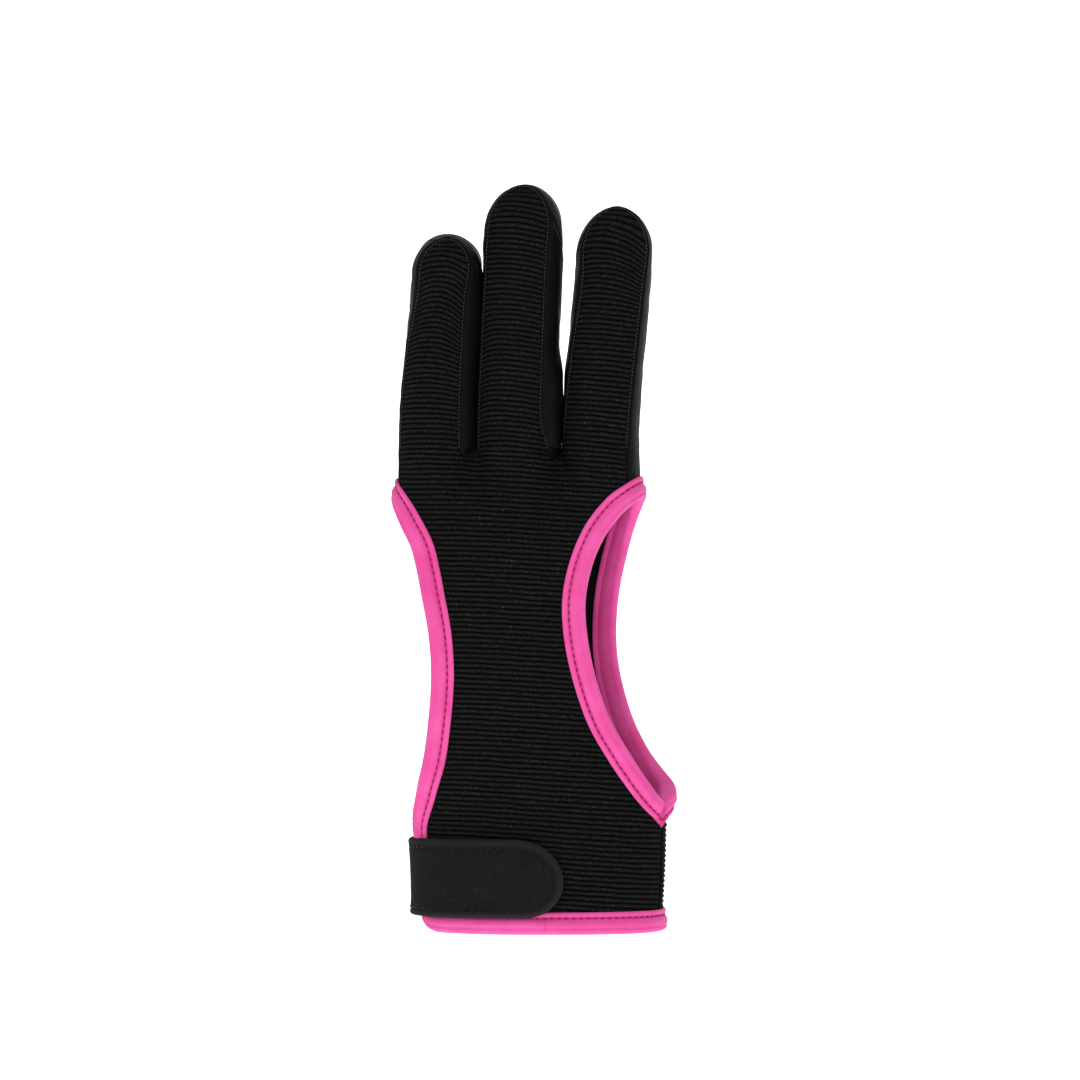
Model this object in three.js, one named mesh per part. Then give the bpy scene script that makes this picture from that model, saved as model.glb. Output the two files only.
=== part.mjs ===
// Three-finger archery glove for a left hand, open as the hand inside holds it.
// Millimetres. +Z runs to the fingertips, +X to the thumb, and the back of the hand faces -Y.
// The origin is the middle of the wrist's mouth, at the lower edge of the hem.
// Places on the hand are given by a turn in degrees, 0 at the middle of the back, 90 at the thumb's side
// and 180 at the middle of the palm, and by a height above the hem.
import * as THREE from 'three';

// Hand
const HAND_LENGTH = 133;      // hem to the level where the fingers part
const HAND_BREADTH = 75;
const HAND_DEPTH = 40;
const SQUARENESS = 2.4;       // exponent of the hand's section, 2 is an ellipse
const KNUCKLE_RUN = 28;       // height over which the palm's section turns into three fingers

// Fingers
const RING_LENGTH = 60.1;
const MIDDLE_LENGTH = 73.8;
const INDEX_LENGTH = 67.5;
const RING_WIDTH = 20.1;
const MIDDLE_WIDTH = 21.8;
const INDEX_WIDTH = 21.4;
const FINGER_DEPTH = 21;
const TIP_DEPTH = 18;
const RING_GAP = 1.4;         // between the ring and middle fingers where they part
const INDEX_GAP = 2.2;        // between the middle and index fingers where they part
const MIDDLE_SET = -7.4;      // middle finger's centre from the middle of the wrist
const FINGER_SET = -1.5;      // fingers' centre from the hand's middle plane
const CURL = 5;               // how far the tips bend towards the palm
const PALM_SEAM = 140;        // degrees round a finger to the seam with the palm panel
const CROTCH_DIP = 2.2;       // how far the web sags between two fingers

// Cloth and leather
const WALL = 1.2;
const WEB_WALL = 1;
const SEAM_GAP = 0.3;
const CUFF_HEIGHT = 30;       // top of the ribbed cloth on the palm side
const SIDE_SEAM = 72;         // degrees round to the seam below the thumb opening

// Binding
const BINDING_WIDTH = 6.4;
const BINDING_LEAF = 0.8;
const BINDING_CLEARANCE = 0.4;
const HEM_CORNER = 8;         // radius of the hem's corners at the little finger's side
const WRIST_EDGE = 78;        // degrees round to the open side's edges at the wrist

// Strap
const STRAP_THICKNESS = 2.3;
const STRAP_HEIGHT = 21.6;
const STRAP_FOOT = 4.1;       // lower edge above the hem's edge
const STRAP_REACH = 5.8;      // round end on the back, from the middle of the wrist
const STRAP_ROOT = -165;      // degrees round to the sewn end on the palm side

const CLOTH = { color: 0x1c1c1d, roughness: 0.82, metalness: 0 };
const LEATHER = { color: 0x151517, roughness: 0.48, metalness: 0 };
const PINK = { color: 0xff5aaf, roughness: 0.62, metalness: 0 };
const FELT = { color: 0x212122, roughness: 0.96, metalness: 0 };

const DEGREE = Math.PI / 180;
const { lerp, smoothstep, clamp } = THREE.MathUtils;

// Each finger's base is where it meets the hand. Lean, dome and cap are shares of its width: how far the
// tip lies to the thumb's side, the height of the rounded tip, and the leather shown above the back panel.
const RING_BASE = MIDDLE_SET - MIDDLE_WIDTH / 2 - RING_GAP - RING_WIDTH / 2;
const INDEX_BASE = MIDDLE_SET + MIDDLE_WIDTH / 2 + INDEX_GAP + INDEX_WIDTH / 2;
const FINGERS = [
  { name: 'ring', base: RING_BASE, width: RING_WIDTH, length: RING_LENGTH },
  { name: 'middle', base: MIDDLE_SET, width: MIDDLE_WIDTH, length: MIDDLE_LENGTH },
  { name: 'index', base: INDEX_BASE, width: INDEX_WIDTH, length: INDEX_LENGTH },
];
const FINGER_SHAPES = [
  { lean: 0.184, dome: 0.55, cap: 0.095 },
  { lean: 0.12, dome: 0.6, cap: 0.03 },
  { lean: 0.2, dome: 0.61, cap: 0.02 },
];
FINGERS.forEach((finger, i) => Object.assign(finger, FINGER_SHAPES[i]));
const ULNAR_SIDE = RING_BASE - RING_WIDTH / 2;
const RADIAL_SIDE = INDEX_BASE + INDEX_WIDTH / 2;

// Leather shown beside the back panel at each side of a finger, as a share of the finger's width. Rise is
// a share of the finger's length.
const MARGINS = {
  ring: [
    { rise: 0, left: 0.025, right: 0.144 },
    { rise: 0.2, left: 0.025, right: 0.165 },
    { rise: 0.45, left: 0.035, right: 0.195 },
    { rise: 0.7, left: 0.11, right: 0.215 },
    { rise: 0.88, left: 0.12, right: 0.165 },
  ],
  middle: [
    { rise: 0, left: 0.03, right: 0.08 },
    { rise: 0.1, left: 0.03, right: 0.165 },
    { rise: 0.2, left: 0.03, right: 0.18 },
    { rise: 0.45, left: 0.03, right: 0.19 },
    { rise: 0.7, left: 0.03, right: 0.2 },
    { rise: 0.88, left: 0.04, right: 0.17 },
  ],
  index: [
    { rise: 0, left: 0.005, right: 0.165 },
    { rise: 0.2, left: 0.025, right: 0.145 },
    { rise: 0.45, left: 0.055, right: 0.125 },
    { rise: 0.7, left: 0.095, right: 0.105 },
    { rise: 0.88, left: 0.06, right: 0.07 },
  ],
};

// Hand sections. Rise is a share of its length, the sides are shares of its breadth, depth one of its depth.
const HAND = [
  { rise: 0, ulnar: -0.44, radial: 0.444, depth: 0.5 },
  { rise: 0.195, ulnar: -0.468, radial: 0.46, depth: 0.475 },
  { rise: 0.45, ulnar: -0.56, radial: 0.453, depth: 0.438 },
  { rise: 0.677, ulnar: -0.587, radial: 0.413, depth: 0.4 },
  { rise: 0.827, ulnar: -0.56, radial: 0.38, depth: 0.375 },
  { rise: 0.917, ulnar: -0.535, radial: 0.367, depth: 0.34 },
  { rise: 1, ulnar: ULNAR_SIDE / HAND_BREADTH, radial: RADIAL_SIDE / HAND_BREADTH, depth: 0.3 },
];

// Edge of the thumb opening, from the point of its V at the side seam up the back, over and down the palm.
// Rise is a share of the hand's length, turn is in degrees.
const THUMB_OPENING = [
  { rise: 0.272, turn: SIDE_SEAM },
  { rise: 0.29, turn: 57 },
  { rise: 0.32, turn: 46.5 },
  { rise: 0.376, turn: 38 },
  { rise: 0.451, turn: 30 },
  { rise: 0.564, turn: 25.4 },
  { rise: 0.677, turn: 25 },
  { rise: 0.752, turn: 29.5 },
  { rise: 0.812, turn: 37.4 },
  { rise: 0.86, turn: 50 },
  { rise: 0.886, turn: 64 },
  { rise: 0.9, turn: 84 },
  { rise: 0.877, turn: 105 },
  { rise: 0.81, turn: 122 },
  { rise: 0.69, turn: 136 },
  { rise: 0.56, turn: 140 },
  { rise: 0.433, turn: 133 },
  { rise: 0.335, turn: 114 },
  { rise: 0.297, turn: 92 },
];

// Open side below the ring finger, from the wrist up the back and down the palm.
const OPEN_SIDE = [
  { rise: 0.13, turn: -WRIST_EDGE },
  { rise: 0.215, turn: -77 },
  { rise: 0.29, turn: -62.8 },
  { rise: 0.361, turn: -49.7 },
  { rise: 0.436, turn: -42 },
  { rise: 0.526, turn: -37.4 },
  { rise: 0.61, turn: -37.4 },
  { rise: 0.684, turn: -40.7 },
  { rise: 0.737, turn: -44.5 },
  { rise: 0.79, turn: -50.7 },
  { rise: 0.835, turn: -62 },
  { rise: 0.868, turn: -74 },
  { rise: 0.895, turn: -92 },
  { rise: 0.89, turn: -108 },
  { rise: 0.855, turn: -121 },
  { rise: 0.79, turn: -131 },
  { rise: 0.684, turn: -139 },
  { rise: 0.526, turn: -142 },
  { rise: 0.4, turn: -134 },
  { rise: 0.29, turn: -118 },
  { rise: 0.215, turn: -104 },
  { rise: 0.13, turn: WRIST_EDGE - 180 },
];

// Smooth reading of one column of a table, between its rows.
function reading(rows, column, rise) {
  let i = 0;
  while (i < rows.length - 2 && rows[i + 1].rise < rise) i += 1;
  const [a, b] = [rows[i], rows[i + 1]];
  const before = rows[Math.max(i - 1, 0)];
  const after = rows[Math.min(i + 2, rows.length - 1)];
  const span = b.rise - a.rise;
  const t = clamp((rise - a.rise) / span, 0, 1);
  const slopeA = (b[column] - before[column]) / (b.rise - before.rise) * span;
  const slopeB = (after[column] - a[column]) / (after.rise - a.rise) * span;
  const bend = (t * t * t - 2 * t * t + t) * slopeA + (t * t * t - t * t) * slopeB;
  return lerp(a[column], b[column], t * t * (3 - 2 * t)) + bend;
}

const steps = (from, to, count) => Array.from({ length: count + 1 }, (_, i) => lerp(from, to, i / count));

const signedPower = (value, exponent) => Math.sign(value) * Math.abs(value) ** exponent;

// Fingers

function marginAt(finger, side, rise) {
  return reading(MARGINS[finger.name], side, rise) * finger.width;
}

// Height and narrowing of a finger at a level: 0 to 1 up the straight part, 1 to 2 over the rounded tip.
function fingerLevel(finger, level) {
  const dome = finger.dome * finger.width;
  const angle = clamp(level - 1, 0, 1) * 90 * DEGREE;
  const rise = Math.min(level, 1) * (finger.length - dome) + dome * Math.sin(angle);
  return { rise, share: rise / finger.length, angle, dome };
}

function fingerPlace(finger, around, level) {
  const { rise, share, angle, dome } = fingerLevel(finger, level);
  const wide = finger.width / 2;
  const deep = lerp(FINGER_DEPTH, TIP_DEPTH, share) / 2;
  const narrow = Math.cos(angle);
  const [sine, cosine] = [Math.sin(around * DEGREE), Math.cos(around * DEGREE)];
  const x = finger.base + finger.lean * finger.width * smoothstep(share, 0, 1) + wide * narrow * sine;
  const y = FINGER_SET + CURL * share * share - deep * narrow * cosine;
  const out = new THREE.Vector3(narrow * sine / wide, -narrow * cosine / deep, Math.sin(angle) / dome);
  return { point: new THREE.Vector3(x, y, HAND_LENGTH + rise), out: out.normalize() };
}

// Degrees round a finger from its back to the back panel's seam. The seam arches over the tip and closes
// at the cap's height. A positive inset moves it in from the seam, a negative one out.
function backSeam(finger, side, level, inset) {
  const { share, angle, dome } = fingerLevel(finger, level);
  const wide = finger.width / 2;
  const straight = fingerLevel(finger, 1).share;
  const margin = marginAt(finger, side, Math.min(share, straight));
  const closing = Math.sin(capAngle(finger, inset));
  const arch = Math.sqrt(Math.max(0, 1 - (Math.sin(angle) / closing) ** 2));
  const sine = clamp((1 - margin / wide) * arch / Math.max(Math.cos(angle), 1e-6), 0, 1);
  return Math.asin(sine) / DEGREE - arch * inset / wide / DEGREE;
}

// Angle up the rounded tip at which the back panel's arch closes.
function capAngle(finger, inset) {
  const dome = finger.dome * finger.width;
  return Math.asin(1 - finger.cap * finger.width / dome) - inset / (TIP_DEPTH / 2);
}

// Levels over the rounded tip up to the closing of the back panel's arch.
const ARCH_STEPS = [20, 40, 58, 74, 90];

function archLevels(finger, inset) {
  const closing = Math.sin(capAngle(finger, inset));
  return ARCH_STEPS.map((step) => 1 + Math.asin(closing * Math.sin(step * DEGREE)) / DEGREE / 90);
}

// The side strips between the fingers narrow towards the tips and stop at one of the arch's levels.
const STRIP_NARROWS = 0.55;      // share of the finger's length where this begins
const STRIP_ARCH_LEVELS = 2;
const STRIP_END_WIDTH = 0.08;    // share of its full width where a strip stops
const LEVEL_PLAY = 0.03;

function palmSeam(finger, side, level) {
  const back = backSeam(finger, side, level, 0);
  const end = archLevels(finger, 0)[STRIP_ARCH_LEVELS - 1];
  const last = fingerLevel(finger, end).share;
  const narrowed = smoothstep(fingerLevel(finger, level).share, STRIP_NARROWS, last);
  return level > end + LEVEL_PLAY ? back : lerp(PALM_SEAM, back, narrowed * (1 - STRIP_END_WIDTH));
}

// Hand

function handSection(height) {
  const rise = height / HAND_LENGTH;
  const ulnar = reading(HAND, 'ulnar', rise) * HAND_BREADTH;
  const radial = reading(HAND, 'radial', rise) * HAND_BREADTH;
  const depth = reading(HAND, 'depth', rise) * HAND_DEPTH;
  return { middle: (ulnar + radial) / 2, half: (radial - ulnar) / 2, depth };
}

// Depth of the three fingers' section at x, where they part. It is level across the gaps.
function knuckleDepth(x, face) {
  const strips = FINGERS.map((finger, i) => {
    const wide = finger.width / 2;
    const seam = (side) => (face < 0 ? backSeam(finger, side, 0, 0) : PALM_SEAM) * DEGREE;
    const low = finger.base - wide * (i === 0 ? 1 : Math.sin(seam('left')));
    const high = finger.base + wide * (i === 2 ? 1 : Math.sin(seam('right')));
    return { finger, low, high };
  });
  const onStrip = ({ finger }, place) => {
    const share = clamp((place - finger.base) / (finger.width / 2), -1, 1);
    return FINGER_SET + face * FINGER_DEPTH / 2 * Math.sqrt(1 - share * share);
  };
  const next = strips.findIndex((strip) => x <= strip.high);
  const strip = strips[next < 0 ? 2 : next];
  if (next <= 0 || x >= strip.low) return onStrip(strip, x);
  const before = strips[next - 1];
  const across = (x - before.high) / (strip.low - before.high);
  return lerp(onStrip(before, before.high), onStrip(strip, strip.low), across);
}

function handPoint(turn, height) {
  const section = handSection(height);
  const knuckles = handSection(HAND_LENGTH);
  const share = signedPower(Math.sin(turn * DEGREE), 2 / SQUARENESS);
  const cosine = Math.cos(turn * DEGREE);
  const plain = -section.depth * signedPower(cosine, 2 / SQUARENESS);
  const fingered = knuckleDepth(knuckles.middle + knuckles.half * share, cosine > 0 ? -1 : 1);
  const y = lerp(plain, fingered, smoothstep(height, HAND_LENGTH - KNUCKLE_RUN, HAND_LENGTH));
  return new THREE.Vector3(section.middle + section.half * share, y, height);
}

const TURN_STEP = 1.5;
const HEIGHT_STEP = 1;

function handSlopes(turn, height) {
  const round = handPoint(turn + TURN_STEP, height).sub(handPoint(turn - TURN_STEP, height));
  const up = handPoint(turn, height + HEIGHT_STEP).sub(handPoint(turn, height - HEIGHT_STEP));
  return { round: round.divideScalar(2 * TURN_STEP), up: up.divideScalar(2 * HEIGHT_STEP) };
}

function handPlace(turn, height) {
  const { round, up } = handSlopes(turn, height);
  return { point: handPoint(turn, height), out: round.cross(up).normalize() };
}

// Turn of a place on a finger's section where the fingers part.
function turnOnFinger(finger, around) {
  const knuckles = handSection(HAND_LENGTH);
  const x = finger.base + finger.width / 2 * Math.sin(around * DEGREE);
  const share = clamp((x - knuckles.middle) / knuckles.half, -1, 1);
  const turn = Math.asin(signedPower(share, SQUARENESS / 2)) / DEGREE;
  if (Math.cos(around * DEGREE) < 0) return 180 - turn;
  return around > 180 ? turn + 360 : turn;
}

// Openings

const openingCurve = (rows) => new THREE.CatmullRomCurve3(
  rows.map(({ rise, turn }) => new THREE.Vector3(turn, rise * HAND_LENGTH, 0)), false, 'centripetal');

// Stations along a path on the hand, closer together where it bends.
const LONGEST_STEP = 9;
const SHARPEST_STEP = 12;
const FINE_STEPS = 600;

function stations(curve) {
  const station = ({ x, y }) => ({ turn: x, height: y, point: handPoint(x, y) });
  const fine = curve.getPoints(FINE_STEPS).map(station);
  const kept = [fine[0]];
  let [run, bend] = [0, 0];
  for (let i = 1; i < fine.length - 1; i += 1) {
    const before = fine[i].point.clone().sub(fine[i - 1].point);
    const after = fine[i + 1].point.clone().sub(fine[i].point);
    run += before.length();
    bend += before.angleTo(after) / DEGREE;
    if (run > LONGEST_STEP || bend > SHARPEST_STEP) {
      kept.push(fine[i]);
      [run, bend] = [0, 0];
    }
  }
  return kept;
}

// The hem's round corners lead from the hem's line into the open side's edges.
function hemCorner(turn, towards) {
  const perDegree = handSlopes(turn, HEM_CORNER / 2).round.length();
  return [0, 0.35, 0.7, 1].map((share) => {
    const angle = share * 90 * DEGREE;
    const aside = HEM_CORNER * (1 - Math.sin(angle)) / perDegree;
    return { rise: HEM_CORNER * (1 - Math.cos(angle)) / HAND_LENGTH, turn: turn + towards * aside };
  });
}

const backCorner = hemCorner(-WRIST_EDGE, 1);
const palmCorner = hemCorner(WRIST_EDGE - 180, -1).reverse();
const SIDE_PATH = [...backCorner, ...OPEN_SIDE, ...palmCorner];

// The hem's line from the palm's corner round the thumb's side to the back's corner.
const HEM_STEPS = 14;

function hemPath() {
  const from = palmCorner.at(-1).turn;
  const to = backCorner[0].turn - 360;
  return steps(from, to, HEM_STEPS).slice(1, -1).map((turn) => ({ rise: 0, turn }));
}

const thumbStations = stations(openingCurve([...THUMB_OPENING, THUMB_OPENING[0]]));
const roundAgain = { ...backCorner[0], turn: backCorner[0].turn - 360 };
const edgeStations = stations(openingCurve([...SIDE_PATH, ...hemPath(), roundAgain]));
const sideStations = stations(openingCurve(SIDE_PATH));

// Distance from a place on the hand to an opening's edge, negative inside the opening.
function clearOf(path, turn, height) {
  const point = handPoint(turn, height);
  let nearest = Infinity;
  let inside = false;
  const foot = new THREE.Vector3();
  path.forEach((a, i) => {
    const b = path[(i + 1) % path.length];
    new THREE.Line3(a.point, b.point).closestPointToPoint(point, true, foot);
    nearest = Math.min(nearest, foot.distanceTo(point));
    if (a.height > height === b.height > height) return;
    const crossing = lerp(a.turn, b.turn, (height - a.height) / (b.height - a.height));
    if (turn < crossing) inside = !inside;
  });
  return inside ? -nearest : nearest;
}

// The side's outline is closed well below the hem, where nothing is made.
const BELOW = -50;
const wellBelow = (station) => ({ ...station, height: BELOW, point: station.point.clone().setZ(BELOW) });
const sideOutline = [...sideStations, wellBelow(sideStations.at(-1)), wellBelow(sideStations[0])];

const EDGE_PLAY = 0.4;      // how far a panel's edge may lie further inside its binding
const EDGE_INSET = BINDING_LEAF + BINDING_CLEARANCE + EDGE_PLAY;

// Positive on the panels, in from the openings' edges by what the bindings' folds take up.
function onPanel(turn, height) {
  const folded = ((turn + 270) % 360 + 360) % 360 - 270;
  const clear = Math.min(clearOf(thumbStations, turn, height), clearOf(sideOutline, folded, height));
  const past = clear - EDGE_INSET;
  return Math.abs(past) < EDGE_PLAY ? 0 : past;
}

// Solids

// A skin is a sheet of triangles. Each of its points has a place and a way out.
class Skin {
  constructor() {
    this.places = [];
    this.faces = [];
    this.known = new Map();
  }

  add(place) {
    const key = place.point.toArray().map((value) => Math.round(value * 500)).join();
    if (!this.known.has(key)) this.known.set(key, this.places.push(place) - 1);
    return this.known.get(key);
  }

  // A polygon's triangles. One of four corners is split along its shorter diagonal.
  polygon(corners) {
    const apart = (a, b) => this.places[a].point.distanceTo(this.places[b].point);
    const turned = corners.length === 4 && apart(corners[0], corners[2]) > apart(corners[1], corners[3]);
    const order = turned ? [...corners.slice(1), corners[0]] : corners;
    for (let i = 1; i < order.length - 1; i += 1) {
      const face = [order[0], order[i], order[i + 1]];
      if (new Set(face).size === 3) this.faces.push(face);
    }
  }

  // Rows of places, each as long as the next.
  grid(rows) {
    const kept = rows.map((row) => row.map((place) => this.add(place)));
    for (let r = 0; r < kept.length - 1; r += 1) {
      for (let c = 0; c < kept[r].length - 1; c += 1) {
        this.polygon([kept[r][c], kept[r][c + 1], kept[r + 1][c + 1], kept[r + 1][c]]);
      }
    }
  }

  // A sheet on the hand over turns and heights, cut along the openings' edges.
  handGrid(turnsAt, heights) {
    const corners = heights.map((height) =>
      turnsAt(height).map((turn) => ({ turn, height, value: onPanel(turn, height) })));
    const corner = (r, c) => corners[r][c];
    for (let r = 0; r < heights.length - 1; r += 1) {
      for (let c = 0; c < corners[r].length - 1; c += 1) {
        const cell = [corner(r, c), corner(r, c + 1), corner(r + 1, c + 1), corner(r + 1, c)];
        this.polygon(cutCell(cell).map(({ turn, height }) => this.add(handPlace(turn, height))));
      }
    }
  }
}

// The part of a cell on the panel. A cut edge is read the same way from both of its cells.
function cutCell(cell) {
  const kept = [];
  cell.forEach((a, i) => {
    const b = cell[(i + 1) % cell.length];
    if (a.value >= 0) kept.push(a);
    if (a.value * b.value >= 0) return;
    const [low, high] = a.turn + a.height < b.turn + b.height ? [a, b] : [b, a];
    const t = low.value / (low.value - high.value);
    kept.push({ turn: lerp(low.turn, high.turn, t), height: lerp(low.height, high.height, t) });
  });
  return kept;
}

// A solid wall from a skin: its outer face lifted, its inner face a wall's thickness below.
function wallFrom(skin, wall, lift = 0) {
  const count = skin.places.length;
  const points = [lift, lift - wall].flatMap((rise) =>
    skin.places.map(({ point, out }) => point.clone().addScaledVector(out, rise)));
  const faces = [...skin.faces, ...skin.faces.map(([a, b, c]) => [a + count, c + count, b + count])];
  const edges = new Map();
  for (const [a, b, c] of skin.faces) {
    for (const [from, to] of [[a, b], [b, c], [c, a]]) edges.set(`${from},${to}`, [from, to]);
  }
  for (const [from, to] of edges.values()) {
    if (edges.has(`${to},${from}`)) continue;
    faces.push([from, from + count, to], [to, from + count, to + count]);
  }
  return solid(points, faces);
}

function solid(points, faces) {
  const volume = faces.reduce((sum, [a, b, c]) => sum + points[a].dot(points[b].clone().cross(points[c])), 0);
  const index = volume < 0 ? faces.map(([a, b, c]) => [a, c, b]) : faces;
  const geometry = new THREE.BufferGeometry();
  const values = points.flatMap((point) => point.toArray());
  geometry.setAttribute('position', new THREE.Float32BufferAttribute(values, 3));
  geometry.setIndex(index.flat());
  geometry.computeVertexNormals();
  return geometry;
}

// Panels

const FINGER_COLUMNS = 6;
const OUTER_COLUMNS = 8;
const GAP_COLUMNS = 4;
const STRAIGHT_LEVELS = steps(0, 1, 5);

const HALF_GAP = SEAM_GAP / 2;

// Heights on the hand up to the foot of the notches between the fingers.
const NOTCH_FOOT = HAND_LENGTH - CROTCH_DIP - WEB_WALL - SEAM_GAP;
const PANEL_FOOT = EDGE_INSET;
const BACK_RISES = [
  0.03, 0.06, 0.13, 0.2, 0.25, 0.29, 0.34, 0.41, 0.49, 0.58, 0.67, 0.75, 0.81, 0.86, 0.89, 0.93,
];
const PALM_RISES = [0.26, 0.285, 0.33, 0.39, 0.47, 0.56, 0.65, 0.73, 0.8, 0.85, 0.88, 0.905, 0.93];
const handHeights = (rises) => rises.map((rise) => rise * HAND_LENGTH);

// Angles across each finger's strip of a panel, where the fingers part and at the levels above.
function backStrip(finger, level) {
  const left = backSeam(finger, 'left', level, HALF_GAP);
  const right = backSeam(finger, 'right', level, HALF_GAP);
  return steps(-left, right, FINGER_COLUMNS);
}

// The palm panel meets the back panel at the outer sides of the hand and the side strips elsewhere. Past
// the arch's end it closes round the tip.
const sideGap = (finger) => HALF_GAP / (finger.width / 2) / DEGREE;
const ARCH_PLAY = 0.001;

function palmEdge(finger, side, outer, level) {
  if (level > archLevels(finger, -HALF_GAP).at(-1) - ARCH_PLAY) return 0;
  return outer ? backSeam(finger, side, level, -HALF_GAP) : palmSeam(finger, side, level) + sideGap(finger);
}

function palmStrip(finger, level) {
  const right = palmEdge(finger, 'right', finger.name === 'index', level);
  const left = palmEdge(finger, 'left', finger.name === 'ring', level);
  return steps(right, 360 - left, finger.name === 'middle' ? FINGER_COLUMNS : OUTER_COLUMNS);
}

// Turns across a whole panel: the fingers' strips with the gaps' columns between them.
function panelTurns(strips) {
  const edges = strips.map(({ finger, angles }) => angles.map((angle) => turnOnFinger(finger, angle)));
  return edges.flatMap((turns, i) => {
    const next = edges[i + 1];
    if (!next) return turns;
    const across = steps(0, Math.PI, GAP_COLUMNS).slice(1, -1);
    return [...turns, ...across.map((angle) => lerp(turns.at(-1), next[0], (1 - Math.cos(angle)) / 2))];
  });
}

// Below the thumb opening the panels' edges at the thumb's side move over to the side seam.
const SEAM_PLAY = 0.5;      // degrees from the side seam to a panel's edge
const THUMB_FOOT = 0.35;    // share of the hand's length where the move ends
const THUMB_TOP = 0.85;     // share where it begins

function movedTurns(turns, edge, target) {
  const far = edge === 'last' ? turns[0] : turns.at(-1);
  const near = edge === 'last' ? turns.at(-1) : turns[0];
  return (height) => {
    const moved = 1 - smoothstep(height / HAND_LENGTH, THUMB_FOOT, THUMB_TOP);
    return turns.map((turn) => turn + moved * (target - near) * (turn - far) / (near - far));
  };
}

function panel(strips, turnsAt, heights, levelsOf, stripAt) {
  const skin = new Skin();
  skin.handGrid(turnsAt, [...heights, NOTCH_FOOT]);
  for (const { finger, angles } of strips) {
    const foot = angles.map((angle) => handPlace(turnOnFinger(finger, angle), NOTCH_FOOT));
    const row = (level) => stripAt(finger, level).map((angle) => fingerPlace(finger, angle, level));
    skin.grid([foot, ...levelsOf(finger).map(row)]);
  }
  return wallFrom(skin, WALL);
}

function backPanel() {
  const strips = FINGERS.map((finger) => ({ finger, angles: backStrip(finger, 0) }));
  const levelsOf = (finger) => [...STRAIGHT_LEVELS, ...archLevels(finger, HALF_GAP)];
  const turnsAt = movedTurns(panelTurns(strips), 'last', SIDE_SEAM - SEAM_PLAY);
  return panel(strips, turnsAt, [PANEL_FOOT, ...handHeights(BACK_RISES)], levelsOf, backStrip);
}

function palmPanel() {
  const strips = FINGERS.toReversed().map((finger) => ({ finger, angles: palmStrip(finger, 0) }));
  const levelsOf = (finger) => {
    const arch = archLevels(finger, -HALF_GAP);
    return [...STRAIGHT_LEVELS, ...arch, (arch.at(-1) + 2) / 2, 2];
  };
  const turnsAt = movedTurns(panelTurns(strips), 'first', SIDE_SEAM + SEAM_PLAY);
  const heights = [CUFF_HEIGHT + HALF_GAP, ...handHeights(PALM_RISES)];
  return panel(strips, turnsAt, heights, levelsOf, palmStrip);
}

const CUFF_COLUMNS = 16;
const CUFF_RISES = [0.05, 0.35, 0.65];

function palmCuff() {
  const skin = new Skin();
  const turns = steps(SIDE_SEAM + SEAM_PLAY, 360 - WRIST_EDGE, CUFF_COLUMNS);
  const top = CUFF_HEIGHT - HALF_GAP;
  skin.handGrid(() => turns, [PANEL_FOOT, ...CUFF_RISES.map((rise) => lerp(PANEL_FOOT, top, rise)), top]);
  return wallFrom(skin, WALL);
}

// Side strips between two fingers, in one piece with the web where the fingers part.
const STRIP_COLUMNS = 3;
const WEB_STEPS = [36, 72, 108, 144];

function stripAngle(finger, side, level, across) {
  const back = backSeam(finger, side, level, -HALF_GAP);
  const palm = palmSeam(finger, side, level) - sideGap(finger);
  return (side === 'left' ? -1 : 1) * lerp(back, palm, across);
}

function webPoint(fingers, across, angle) {
  const [from, to] = ['right', 'left'].map((side, i) =>
    fingerPlace(fingers[i], stripAngle(fingers[i], side, 0, across), 0).point);
  const share = (1 - Math.cos(angle * DEGREE)) / 2;
  const point = from.lerp(to, share);
  return point.setZ(HAND_LENGTH - CROTCH_DIP * Math.sin(angle * DEGREE));
}

function webPlace(fingers, across, angle) {
  const along = webPoint(fingers, across, angle + 2).sub(webPoint(fingers, across, angle - 2));
  const over = webPoint(fingers, across + 0.05, angle).sub(webPoint(fingers, across - 0.05, angle));
  return { point: webPoint(fingers, across, angle), out: along.cross(over).normalize() };
}

function fourchette(left, right) {
  const arched = (finger) => archLevels(finger, HALF_GAP).slice(0, STRIP_ARCH_LEVELS);
  const levelsOf = (finger) => [...STRAIGHT_LEVELS, ...arched(finger)];
  const columns = steps(0, 1, STRIP_COLUMNS);
  const sideRows = (finger, side) => levelsOf(finger).map((level) =>
    columns.map((across) => fingerPlace(finger, stripAngle(finger, side, level, across), level)));
  const webRows = WEB_STEPS.map((angle) => columns.map((across) => webPlace([left, right], across, angle)));
  const skin = new Skin();
  skin.grid([...sideRows(left, 'right').reverse(), ...webRows, ...sideRows(right, 'left')]);
  return wallFrom(skin, WEB_WALL);
}

// Bindings

const LEAF_TOP = BINDING_CLEARANCE + BINDING_LEAF;
const BINDING_PROFILE = [
  { into: BINDING_WIDTH, out: LEAF_TOP },
  { into: BINDING_LEAF, out: LEAF_TOP },
  { into: 0, out: LEAF_TOP - BINDING_LEAF },
  { into: 0, out: BINDING_LEAF - WALL - LEAF_TOP },
  { into: BINDING_LEAF, out: -WALL - LEAF_TOP },
  { into: BINDING_WIDTH, out: -WALL - LEAF_TOP },
  { into: BINDING_WIDTH, out: -WALL - BINDING_CLEARANCE },
  { into: BINDING_WIDTH / 2, out: -WALL - BINDING_CLEARANCE },
  { into: BINDING_LEAF, out: -WALL - BINDING_CLEARANCE },
  { into: BINDING_LEAF, out: BINDING_CLEARANCE },
  { into: BINDING_WIDTH / 2, out: BINDING_CLEARANCE },
  { into: BINDING_WIDTH, out: BINDING_CLEARANCE },
];
const LONGEST_MITRE = 1.4;

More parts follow.
